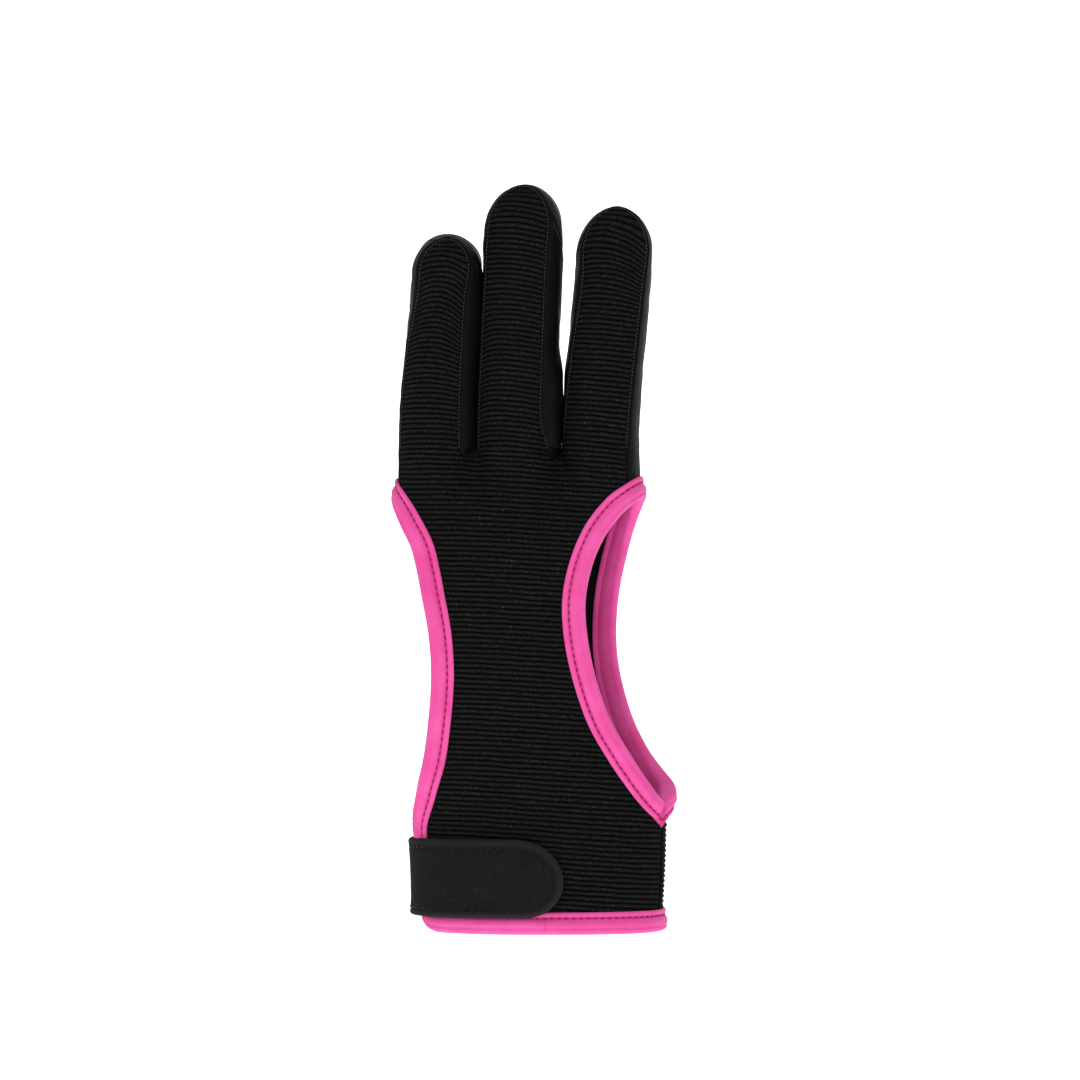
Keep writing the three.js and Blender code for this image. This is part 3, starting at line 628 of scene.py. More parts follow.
class GloveColours(bpy.types.PropertyGroup):
    cloth: colour("Ribbed cloth", (0.0078, 0.0078, 0.0081), "Colour of the ribbed stretch cloth")
    leather: colour("Leather", (0.0034, 0.0034, 0.0036), "Colour of the palm's leather")
    binding: colour("Binding", (0.885, 0.102, 0.40), "Colour of the bindings")
    binding_thread: colour("Binding thread", (0.30, 0.010, 0.09), "Colour of the bindings' stitches")
    strap: colour("Strap", (0.0108, 0.0108, 0.0112), "Colour of the wrist strap")
    thread: colour("Black thread", (0.004, 0.004, 0.0043), "Colour of the strap's stitches")
    seam_thread: colour("Seam thread", (0.045, 0.045, 0.047), "Colour of the stitches along the fingers")


def sizes():
    return bpy.context.scene.glove_sizes


def colours():
    return bpy.context.scene.glove_colours


def shared(name, make):
    """The material of a name, made once."""
    return bpy.data.materials.get(name) or make(name)


LOOP_PITCH, TWILL_PITCH, WEAVE_PITCH = 0.00052, 0.0011, 0.00045      # metres
CLOTH_LINT, STRAP_DUST = (0.065, 0.065, 0.068), (0.05, 0.05, 0.053)


def ribbed_cloth(name):
    """Black stretch cloth: fine knit loops across each rib, dark and light speckles, pale lint, painted shade in
    the grooves and a painted highlight on the crests.
    """
    base = colours().cloth
    f = Finish(name, Specular_IOR_Level=0.03)
    crest = f.kept("crest")
    loops = (f.across * (2 * np.pi / LOOP_PITCH) + f.kept("rib") * (2 * np.pi * 0.37)).sine()
    fibre = f.noise(5200, 3)
    speckled = f.noise(2400, 2, 0.7)
    lint = f.noise(2100, 1).between(0.66, 0.71) * f.noise(240, 2).between(0.42, 0.6)
    # painted shade and painted highlight: the grooves darkened, the crests lightened
    shade = f.mix(crest.between(0.38, 0.95), rgba(base, 0.14), rgba(base, 1.8))
    # knit loops lightened on the crests only, part of the painted highlight there
    shade = f.mix(loops.between(0.2, 1.0) * crest * 0.4, shade, rgba(base, 2.9))
    shade = f.mix(speckled.between(0.58, 0.38) * 0.6, shade, rgba(base, 0.3))
    # light speckles on the crests only, part of the painted highlight there
    shade = f.mix(speckled.between(0.52, 0.68) * crest * 0.5, shade, rgba(base, 3.6))
    shade = f.mix(lint * crest.between(0.3, 0.8) * 0.75, shade, rgba(CLOTH_LINT))
    rough = 0.74 + fibre * 0.2
    bump = f.bumped(loops * 0.5 + fibre, 0.00009, 0.6)
    return f.finish(Base_Color=shade, Roughness=rough, Normal=bump)


def black_leather(name):
    """Thin smooth leather with a fine slanting grain, creases and cloudy lighter patches."""
    base = colours().leather
    f = Finish(name, Specular_IOR_Level=0.05)
    slant = ((f.across * 1.3 + f.up) * (2 * np.pi / TWILL_PITCH)).sine()
    pebble = f.node("ShaderNodeTexVoronoi", {"feature": "DISTANCE_TO_EDGE"}, Vector=f.here, Scale=1900.0)
    crease = f.noise(260, 4, 0.6)
    cloudy = f.noise(45, 3)
    shade = f.mix(cloudy.between(0.35, 0.7) * 0.5, rgba(base), rgba(base, 1.8))
    shade = f.mix(slant.between(0.1, 1.0) * 0.35, shade, rgba(base, 3.4))
    rough = 0.36 + crease * 0.2 + cloudy * 0.06
    height = pebble * 0.35 + crease * 0.6 + slant * 0.3
    return f.finish(Base_Color=shade, Roughness=rough, Normal=f.bumped(height, 0.00016, 0.55))


def pink_binding(name):
    """Smooth bright stretch tape with a fine weave, cloudy, with painted shade in the stitched groove."""
    base = colours().binding
    f = Finish(name, Sheen_Weight=0.02, Sheen_Roughness=0.5, Specular_IOR_Level=0.12)
    weave = (f.across * (2 * np.pi / WEAVE_PITCH)).sine() * (f.up * (2 * np.pi / WEAVE_PITCH)).sine()
    blush = f.noise(120, 3)
    groove = f.kept("depth").between(0.0, 1.0)
    shade = f.mix(blush.between(0.3, 0.7), rgba(base, (1.05, 1.25, 1.12)), rgba(base, (0.96, 0.8, 0.88)))
    shade = f.mix(weave.between(0.0, 1.0) * 0.25, shade, rgba(base, (0.85, 0.6, 0.75)))
    # painted shade in the stitched groove and at the thumb binding's V
    shade = f.mix(groove * 0.7, shade, rgba(base, (0.72, 0.25, 0.5)))
    bump = f.bumped(weave * 0.5 + f.noise(3500, 2) + f.noise(420, 2) * 1.4, 0.00008, 0.5)
    return f.finish(Base_Color=shade, Roughness=0.56 + blush * 0.12, Normal=bump)


def strap_felt(name):
    """Brushed loop cloth: a short nap, cloudy where it is pressed, with pale dust, and a painted highlight on
    its border outside the stitching.
    """
    base = colours().strap
    f = Finish(name, Sheen_Weight=0.015, Sheen_Roughness=0.6, Specular_IOR_Level=0.03)
    nap = f.noise(1500, 4, 0.75)
    pressed = f.noise(110, 3)
    dust = f.noise(900, 1).between(0.745, 0.775)
    edge = f.kept("depth")
    shade = f.mix(nap.between(0.35, 0.65), rgba(base, 0.55), rgba(base, 1.4))
    shade = f.mix(pressed.between(0.3, 0.7) * 0.45, shade, rgba(base, 1.4))
    # painted highlight on the border outside the stitching
    shade = f.mix(edge.between(0.0, 1.0) * 0.7, shade, rgba(base, 2.3))
    shade = f.mix(dust * 0.6, shade, rgba(STRAP_DUST))
    return f.finish(Base_Color=shade, Roughness=0.85 + nap * 0.15, Normal=f.bumped(nap, 0.00022, 0.8))


def thread_finish(name, base):
    """Twisted thread."""
    f = Finish(name, Sheen_Weight=0.03, Specular_IOR_Level=0.2)
    twist = f.noise(4200, 2)
    shade = f.mix(twist.between(0.3, 0.7), rgba(base, 0.7), rgba(base, 1.4))
    return f.finish(Base_Color=shade, Roughness=0.5 + twist * 0.2, Normal=f.bumped(twist, 0.00006, 0.6))


# Geometry trees

def geometry_tree(name, inputs):
    """A new geometry tree with named inputs, with its input node's wires and its identifiers by name."""
    group = bpy.data.node_groups.new(name, "GeometryNodeTree")
    group.interface.new_socket("Geometry", in_out="INPUT", socket_type="NodeSocketGeometry")
    group.interface.new_socket("Geometry", in_out="OUTPUT", socket_type="NodeSocketGeometry")
    known = {}
    for label, kind in inputs:
        made = group.interface.new_socket(label, in_out="INPUT", socket_type=f"NodeSocket{kind}")
        known[label] = made.identifier
    tree = Tree(group)
    source = group.nodes.new("NodeGroupInput")
    wires = {socket.name: Wire(tree, socket) for socket in source.outputs if socket.name}
    return tree, wires, known


def ended(tree, geometry, material):
    real = tree.node("GeometryNodeRealizeInstances", {}, geometry)
    done = tree.node("GeometryNodeSetMaterial", {}, real, Material=material)
    sink = tree.nodes.nodes.new("NodeGroupOutput")
    tree.nodes.links.new(done.socket, sink.inputs[0])
    return tree.nodes


def attribute(tree, name, kind="FLOAT"):
    return tree.node("GeometryNodeInputNamedAttribute", {"data_type": kind}, name)


def ribbing_tree():
    """Lifts a cloth's points into ribs by the numbers kept on them, and keeps how near a crest each lies, which
    the cloth's colour turns into painted shade in the grooves and a painted highlight on the crests.
    """
    tree, wires, known = geometry_tree("Ribbing", [("Rib Height", "Float"), ("Material", "Material")])
    phase, amount = attribute(tree, "rib"), attribute(tree, "ribbing")
    crest = abs((phase * np.pi).sine()) ** 0.75
    lift = (crest - 0.8) * amount * wires["Rib Height"]
    outward = attribute(tree, "outward", "FLOAT_VECTOR")
    way = tree.node("ShaderNodeVectorMath", {"operation": "SCALE"}, outward)
    tree.nodes.links.new(lift.socket, way.socket.node.inputs["Scale"])
    moved = tree.node("GeometryNodeSetPosition", {}, wires["Geometry"], Offset=way)
    # crest value for the painted shade and highlight; 0.5 where there are no ribs
    crest_shading = crest * amount + (1 - amount) * 0.5
    kept = tree.node("GeometryNodeStoreNamedAttribute", {"data_type": "FLOAT", "domain": "POINT"}, moved,
                     Name="crest", Value=crest_shading)
    return ended(tree, kept, wires["Material"]), known


def stitch_tree():
    """Sets a stitch on each point, laid along the seam and out from the cloth."""
    tree, wires, known = geometry_tree("Stitches", [
        ("Length", "Float"), ("Thread", "Float"), ("Seed", "Int"), ("Material", "Material")])
    bead = tree.node("GeometryNodeMeshIcoSphere", {}, Radius=0.5, Subdivisions=2)
    along_seam = tree.node("FunctionNodeAlignRotationToVector", {"axis": "X"},
                           Vector=attribute(tree, "seamward", "FLOAT_VECTOR"))
    turned = tree.node("FunctionNodeAlignRotationToVector", {"axis": "Z", "pivot_axis": "X"},
                       Rotation=along_seam, Vector=attribute(tree, "outward", "FLOAT_VECTOR"))
    uneven = tree.node("FunctionNodeRandomValue", {"data_type": "FLOAT"})
    node = uneven.socket.node
    node.inputs[2].default_value, node.inputs[3].default_value = 0.85, 1.12
    tree.nodes.links.new(wires["Seed"].socket, node.inputs["Seed"])
    uneven = Wire(tree, node.outputs[1])
    size = tree.node("ShaderNodeCombineXYZ", {}, uneven * wires["Length"], wires["Thread"], wires["Thread"])
    placed = tree.node("GeometryNodeInstanceOnPoints", {}, wires["Geometry"], Instance=bead, Rotation=turned,
                       Scale=size)
    smooth = tree.node("GeometryNodeSetShadeSmooth", {}, placed)
    return ended(tree, smooth, wires["Material"]), known


def trees():
    """The two geometry trees, made once."""
    if not TREES:
        TREES["ribbing"], TREES["stitches"] = ribbing_tree(), stitch_tree()
    return TREES


TREES = {}


def applied(obj, tree_name, **inputs):
    """Runs a geometry tree on an object and keeps the result as its plain mesh."""
    group, known = trees()[tree_name]
    modifier = obj.modifiers.new(tree_name, "NODES")
    modifier.node_group = group
    for label, value in inputs.items():
        modifier[known[label.replace("_", " ")]] = value
    graph = bpy.context.evaluated_depsgraph_get()
    mesh = bpy.data.meshes.new_from_object(obj.evaluated_get(graph))
    obj.modifiers.remove(modifier)
    before, obj.data = obj.data, mesh
    bpy.data.meshes.remove(before)
    obj.data.name = obj.name
    return obj


def ribbed(obj, finish):
    return applied(obj, "ribbing", Rib_Height=sizes().rib_height, Material=finish)


def stitched(name, lines, finish, body, pitch, stitch, thread, seed):
    """A row of stitches along each line of places and ways out, in millimetres."""
    places, ways, outs = [], [], []
    for points, out in lines:
        run = along(points)
        count = max(2, int(round(run[-1] / pitch)))
        at = (np.arange(count) + 0.5) * run[-1] / count
        places.append(read_along(at, run, points))
        ways.append(unit(read_along(at + 0.3, run, points) - read_along(at - 0.3, run, points)))
        outs.append(unit(read_along(at, run, out)))
    mesh = bpy.data.meshes.new(name)
    mesh.from_pydata((np.vstack(places) * MM).tolist(), [], [])
    obj = bpy.data.objects.new(name, mesh)
    bpy.context.collection.objects.link(obj)
    per_point(obj, "seamward", np.vstack(ways))
    per_point(obj, "outward", np.vstack(outs))
    applied(obj, "stitches", Length=stitch, Thread=thread, Seed=seed, Material=finish)
    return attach(obj, body)


# Panels

SIDE_COLUMNS = np.array([0, 0.2, 0.45, 0.75, 1.2, 1.9, 2.9])     # millimetres in from a seam
GAP_COLUMNS = 6
# A seam's turned edge sinks and has a low ridge beside it: millimetres deep or high, wide, and inward.
TURNED, TURNED_WIDTH = 0.55, 0.38
RIDGE, RIDGE_WIDTH, RIDGE_INWARD = 0.16, 0.45, 1.0


def strip_shares(width):
    """Shares across a finger's strip, closer together at its seams."""
    edge = SIDE_COLUMNS / width
    return np.concatenate([edge, np.linspace(edge[-1], 1 - edge[-1], 8)[1:-1], 1 - edge[::-1]])


SHARES = strip_shares(17.0)

# Fall of the ribs in millimetres from a finger's crest line to its left and right seams. The crest's place is
# from -1 to 1; the rows hold rise and how far each side's fall has grown.
RIB_BENDS = {
    "ring": {"crest": -0.1, "left": 2.5, "right": 4.4, "rows": [
        (-0.15, 0, 0), (0, 0.1, 0.1), (0.2, 0.2, 0.2), (0.31, 0.35, 0.34), (0.43, 0.6, 0.55), (0.54, 0.85, 0.85),
        (0.66, 1, 1), (0.77, 0.85, 0.9), (0.9, 0.4, 0.6)]},
    "middle": {"crest": 0.0, "left": 1.9, "right": 1.2, "rows": [
        (-0.12, 0, 0), (0, 0.4, 0.5), (0.16, 0.8, 0.6), (0.25, 1, 0.6), (0.44, 1, 0.6), (0.535, 0.7, 0.8),
        (0.63, 0.35, 1), (0.8, 0.3, 1), (0.92, 0.6, 1)]},
    "index": {"crest": -0.4, "left": 0.9, "right": 4.5, "rows": [
        (-0.15, 0, 0), (0, 0.1, 0.1), (0.5, 0.15, 0.06), (0.6, 0.4, 0.15), (0.69, 0.8, 0.45), (0.79, 1, 0.9),
        (0.9, 1, 1)]},
}
TIP_FADE = 7.0
HAND_SLOPE, WRIST_SLOPE = 0.064, 0.076       # fall of the ribs towards the thumb's side, for one across
SLOPE_FROM, SLOPE_FULL = -34.0, -5.0
SPREAD_ROWS = 4.2                            # height over the hand up to which all the fingers share their rows


def rib_bend(finger, share, run):
    """How far a rib has fallen at a share across the finger, in millimetres."""
    bend = RIB_BENDS[finger["name"]]
    side = 2 * share - 1 - bend["crest"]
    left = bend["left"] * np.maximum(-side / (1 + bend["crest"]), 0) ** 2.4
    right = bend["right"] * np.maximum(side / (1 - bend["crest"]), 0) ** 2
    rise = run / finger["length"]
    fall = left * reading(bend["rows"], 1, rise) + right * reading(bend["rows"], 2, rise)
    return fall * smoothstep(panel_top(finger) - run, 0, TIP_FADE)


def hand_slope(x, height):
    """How far the ribs have fallen at x on the hand, in millimetres."""
    places = np.linspace(-60, 60, 241)
    falls = np.cumsum(smoothstep(places, SLOPE_FROM, SLOPE_FULL)) * 0.5
    return np.interp(x, places, falls) * lerp(WRIST_SLOPE, HAND_SLOPE, smoothstep(height, 20, 60))


def wobble(x, height):
    """Unevenness of the ribs' run, in millimetres."""
    places = np.stack(np.broadcast_arrays(x, 0.0, height), -1)
    return 0.13 * ripple(places, 8, 91) + 0.06 * ripple(places, 2.6, 92)


def rib_heights(points):
    """Shares of the ribs' full height, a little uneven."""
    return 1 + 0.16 * ripple(points, 5, 93)


def panel_top(finger):
    """Length of the back panel above the finger's base, up to where its arch closes over the tip."""
    return straight_length(finger) + tip_run(finger) * cap_angle(finger, HALF_GAP) / 90


def straight_length(finger):
    return finger["length"] - finger["dome"] * finger["width"]


def tip_run(finger):
    """Length of a quarter turn over the tip."""
    return np.pi / 4 * (finger["dome"] * finger["width"] + TIP_DEPTH / 2)


def level_of(finger, run):
    """Level on a finger from the length of cloth above its base."""
    straight = straight_length(finger)
    return np.where(run < straight, run / straight, 1 + (run - straight) / tip_run(finger))


def seam_roll(inward, turned):
    """Lift near a turned seam: a low ridge, then down into the seam."""
    ridge = RIDGE * np.exp(-(((inward - RIDGE_INWARD) / RIDGE_WIDTH) ** 2))
    return turned * (ridge - TURNED * np.exp(-((inward / TURNED_WIDTH) ** 2)))


def from_start(points):
    """Distances of a grid's points from the starts of their rows."""
    gaps = np.linalg.norm(np.diff(points, axis=1), axis=-1)
    return np.concatenate([np.zeros((len(points), 1)), np.cumsum(gaps, 1)], 1)


def across_from_middle(points):
    run = from_start(points)
    return run - run[:, [points.shape[1] // 2]]


def from_hand(finger, around, points, outs):
    """A finger's rows, with the first one taken from the hand's surface, so that the two meet."""
    foot = hand_place(turn_on_finger(finger, around[0]), HAND_LENGTH)
    return np.concatenate([foot[0][None], points[1:]]), np.concatenate([foot[1][None], outs[1:]])


NOTCH_LAP = 0.35             # how far a panel's edge lies below the web's face
NOTCH_POINT = -0.25          # lowest place of the pointed notch between the middle and index fingers


def notch_dip(left, share, lap=0.0):
    """Depth of the notch beside a finger at a share from -1 to 1 across it: a round or a pointed one."""
    if left is RING:
        return (1.7 + lap) * np.sqrt(np.clip(1 - share * share, 0, 1))
    aside = np.where(share < NOTCH_POINT, (NOTCH_POINT - share) / (1 + NOTCH_POINT),
                     (share - NOTCH_POINT) / (1 - NOTCH_POINT))
    return (2.6 + lap) * (1 - np.clip(aside, 0, 1) ** 1.15)


def notch_edge(x, palm):
    """Height of a panel's edge under a notch between two fingers, high where there is none."""
    height = np.full(np.shape(x), HAND_LENGTH + 9.0)
    for left, right in ((RING, MIDDLE), (MIDDLE, INDEX)):
        sides = (left, "right"), (right, "left")
        angles = [PALM_SEAM if palm else back_seam(finger, side, 0.0, 0) for finger, side in sides]
        low = left["base"] + left["width"] / 2 * sin(angles[0]) - HALF_GAP
        high = right["base"] - right["width"] / 2 * sin(angles[1]) + HALF_GAP
        share = (2 * x - low - high) / (high - low)
        height = np.where(np.abs(share) <= 1, HAND_LENGTH - notch_dip(left, share, NOTCH_LAP), height)
    return height


def hand_turns(strips):
    """Turns across a panel where the fingers part, and the strips' first columns."""
    turns, parts = [], []
    for i, angles in enumerate(strips):
        if i:
            share = (1 - np.cos(np.linspace(0, np.pi, GAP_COLUMNS + 1)[1:-1])) / 2
            turns = np.concatenate([turns, lerp(turns[-1], angles[0], share)])
        parts.append(len(turns))
        turns = np.concatenate([turns, angles]) if len(turns) else angles
    return turns, parts


def moved_turns(turns, edge, target, heights):
    """The panel's turns at each height: below the thumb's opening its edge moves to the side seam."""
    far, near = (turns[0], turns[-1]) if edge == "last" else (turns[-1], turns[0])
    moved = 1 - smoothstep(heights / HAND_LENGTH, 0.35, 0.85)
    return turns + moved * (target - near) * (turns - far) / (near - far)


class MakeBackPanel(bpy.types.Operator):
    """Makes the ribbed cloth over the back of the hand and fingers."""

    bl_idname = "glove.back_panel"
    bl_label = "Back panel"

    def execute(self, context):
        size = sizes()
        pitch, rows = size.rib_pitch / MM, size.rib_rows
        step = pitch / rows
        cloth = Cloth()
        strips = []
        for finger in FINGERS.values():
            left, right = (back_seam(finger, side, 0.0, HALF_GAP) for side in ("left", "right"))
            strips.append(turn_on_finger(finger, lerp(-left, right, SHARES)))
        turns, parts = hand_turns(strips)

        counts = np.arange(-int(HAND_LENGTH / step), round(SPREAD_ROWS / step) + 1)[:, None]
        levels = counts * step + HAND_LENGTH
        low = np.minimum(levels, HAND_LENGTH)
        wide = moved_turns(turns, "last", SIDE_SEAM - TURN_MARGIN, low)
        x = hand_point(wide, low)[..., 0]
        slope = hand_slope(x, low)
        fall = slope + wobble(x, levels)
        bends = np.zeros(fall.shape)
        own = [slice(first, first + len(SHARES)) for first in parts]
        for finger, part in zip(FINGERS.values(), own):
            bends[:, part] = rib_bend(finger, SHARES[None, :], levels - HAND_LENGTH)
        for one, other in zip(own, own[1:]):
            across = np.linspace(0, 1, other.start - one.stop + 2)[None, 1:-1]
            bends[:, one.stop:other.start] = lerp(bends[:, [one.stop - 1]], bends[:, [other.start]], across)
        bent = levels - fall - bends
        low = np.minimum(bent, HAND_LENGTH)
        wide = moved_turns(turns, "last", SIDE_SEAM - TURN_MARGIN, low)
        points, outs = hand_place(wide, low)
        edge = notch_edge(points[..., 0], False) - bent
        for finger, part in zip(FINGERS.values(), own):
            edge[:, part] = 9.0
            ends = [part.start, part.stop - 1]
            edge[:, ends] = np.maximum(HAND_LENGTH - bent[:, ends], 0)
            above = (bent[:, part] > HAND_LENGTH)[..., None]
            strip = self.strip(finger, np.maximum(bent[:, part] - HAND_LENGTH, 0))
            points[:, part], outs[:, part] = (np.where(above, new, old[:, part])
                                              for new, old in zip(strip, (points, outs)))
        value = np.minimum(np.minimum(on_panel(wide, low), bent - EDGE_INSET), edge)
        phase = (levels - HAND_LENGTH) / pitch
        u = across_from_middle(points)
        ribbing = rib_heights(points)
        cloth.patch(points, outs, value, u=u, v=levels, rib=phase, ribbing=ribbing, turned=1.0)

        for finger, part in zip(FINGERS.values(), own):
            top = panel_top(finger)
            run = np.arange(round(SPREAD_ROWS / step), int(top / step) + 1) * step
            run = np.append(run[top - run > step / 2], top)[:, None]
            grown = smoothstep(top - run, 0, TIP_FADE)
            fall = slope[[-1], part] + wobble(x[[-1], part], HAND_LENGTH + run)
            bent = run - fall * grown - rib_bend(finger, SHARES[None, :], run)
            points, outs = self.strip(finger, np.clip(bent, 0, top))
            u = across_from_middle(points) + finger["base"]
            ribbing = rib_heights(points)
            cloth.patch(points, outs, None, u=u, v=run + HAND_LENGTH, rib=run / pitch, ribbing=ribbing,
                        turned=1.0)
        finish = shared("black_ribbing", ribbed_cloth)
        obj = ribbed(cloth.shell("back_panel_cloth", WALL, finish), finish)
        settle(obj, "back_panel")
        return {"FINISHED"}

    def strip(self, finger, run):
        """Places and ways out across a finger's strip at lengths of cloth above its base."""
        level = level_of(finger, run)
        left, right = (back_seam(finger, side, level, HALF_GAP) for side in ("left", "right"))
        return finger_place(finger, lerp(-left, right, SHARES[None, :]), level)


def settle(obj, node):
    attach(obj, "root")
    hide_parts(node)
    return obj


FLAT_SEAM = 0.3                   # how far a seam between two pieces of leather is turned, as a share
CREASES = (0.06, 0.36, 0.64)      # shares of a finger's length where its joints crease the palm side
FOLDS = ((0, 0.55), (0.033, 0.3), (-0.03, 0.25))      # a crease's folds: offset as a share, and depth
FOLD_WIDTH = 0.012


def leather_lift(points, finger_share, palmward, seed):
    """Unevenness of worn leather: soft waves everywhere and creases across the joints."""
    soft = 0.14 * ripple(points, 17, seed) + 0.07 * ripple(points, 6, seed + 1)
    folds = 0
    for i, place in enumerate(CREASES):
        wander = 0.012 * ripple(points, 9, seed + 5 + i)
        for offset, depth in FOLDS:
            folds = folds - depth * np.exp(-(((finger_share + wander - place - offset) / FOLD_WIDTH) ** 2))
    return soft + folds * palmward


class MakePalmPanel(bpy.types.Operator):
    """Makes the leather over the palm, the fingers' outer sides and tips."""

    bl_idname = "glove.palm_panel"
    bl_label = "Palm panel"

    def execute(self, context):
        leather = Cloth()
        step = 0.9
        fingers = list(FINGERS.values())[::-1]
        side_gap = lambda f: np.degrees(HALF_GAP / (f["width"] / 2))

        def edges(finger, level):
            ends = []
            closed = level > arch_level(finger, 90, -HALF_GAP) - 1e-3
            for side in ("right", "left"):
                outer = (finger is INDEX and side == "right") or (finger is RING and side == "left")
                back = back_seam(finger, side, level, -HALF_GAP)
                edge = back if outer else np.maximum(palm_seam(finger, side, level) + side_gap(finger), back)
                ends.append(np.where(closed, 0, edge))
            return ends

        shares = strip_shares(30.0)
        strips = []
        for finger in fingers:
            right, left = edges(finger, np.array(0.0))
            strips.append(turn_on_finger(finger, lerp(right, 360 - left, shares)))
        turns, parts = hand_turns(strips)
        low = CUFF_HEIGHT + HALF_GAP
        heights = np.linspace(low, HAND_LENGTH, round((HAND_LENGTH - low) / step) + 1)[:, None]
        wide = moved_turns(turns, "first", SIDE_SEAM + TURN_MARGIN, heights)
        points, outs = hand_place(wide, heights)
        edge = np.where(cos(wide) < 0, notch_edge(points[..., 0], True), HAND_LENGTH + 9)
        value = np.minimum(on_panel(wide, heights), edge - heights)
        palmward = smoothstep(-cos(wide), -0.2, 0.5)
        folds = leather_lift(points, (heights - HAND_LENGTH) / 65, palmward, 3)
        leather.patch(points, outs, value, u=across_from_middle(points), v=heights, lift=folds, turned=0.7)
        for finger in fingers:
            arch = arch_level(finger, 90, -HALF_GAP)
            level = np.concatenate([
                np.linspace(0, 1, round(straight_length(finger) / step) + 1),
                np.linspace(1, arch, 17)[1:], np.linspace(arch, 2, 6)[1:]])[:, None]
            right, left = edges(finger, level)
            around = lerp(right, 360 - left, shares[None, :])
            points, outs = from_hand(finger, around, *finger_place(finger, around, level))
            palmward = smoothstep(-cos(around), -0.3, 0.5) * (1 - smoothstep(level, 1.3, 1.8))
            share = finger_level(finger, level)[1]
            folds = leather_lift(points, share, palmward, 3)
            outer = sin(around) * {"ring": -1, "middle": 0, "index": 1}[finger["name"]] > 0
            turned = np.where(outer | (around < 60) | (around > 300), 1.0, FLAT_SEAM)
            leather.patch(points, outs, None, u=across_from_middle(points) + finger["base"],
                          v=HAND_LENGTH + level * straight_length(finger), lift=folds, turned=turned)
        obj = leather.shell("palm_leather", WALL, shared("black_leather", black_leather))
        settle(obj, "palm_panel")
        return {"FINISHED"}


class MakePalmCuff(bpy.types.Operator):
    """Makes the ribbed cloth on the palm side of the wrist."""

    bl_idname = "glove.palm_cuff"
    bl_label = "Palm cuff"

    def execute(self, context):
        size = sizes()
        pitch, rows = size.rib_pitch / MM, size.rib_rows
        cloth = Cloth()
        top = CUFF_HEIGHT - HALF_GAP
        heights = np.arange(EDGE_INSET, top, pitch / rows)
        heights = np.append(heights, top)[:, None]
        first = SIDE_SEAM + TURN_MARGIN
        turns = np.linspace(first, 360 - WRIST_EDGE + 4, 90)[None, :]
        ends = np.array([0.3, 0.8, 1.4])          # degrees, closer together at the side seam
        turns = np.sort(np.concatenate([turns, first + ends[None, :]], 1), 1)
        turns = np.broadcast_to(turns, (len(heights), turns.shape[1]))
        points, outs = hand_place(turns, heights)
        cloth.patch(points, outs, on_panel(turns, heights), u=from_start(points), v=heights,
                    rib=heights / pitch, ribbing=1.0, turned=1.0)
        finish = shared("black_ribbing", ribbed_cloth)
        obj = ribbed(cloth.shell("palm_cuff_cloth", WALL, finish), finish)
        settle(obj, "palm_cuff")
        return {"FINISHED"}


# Between two fingers: depth of the wrinkles and their seed, the left finger's share of the filling, the heights
# over which the slot opens, and how far it opens.
FOURCHETTES = (
    (RING, MIDDLE, {"depth": 0.12, "seed": 21, "share": 0.8, "closed": (60, 80), "opened": 0}),
    (MIDDLE, INDEX, {"depth": 0.42, "seed": 34, "share": 0.85, "closed": (14, 30), "opened": 0.85}),
)


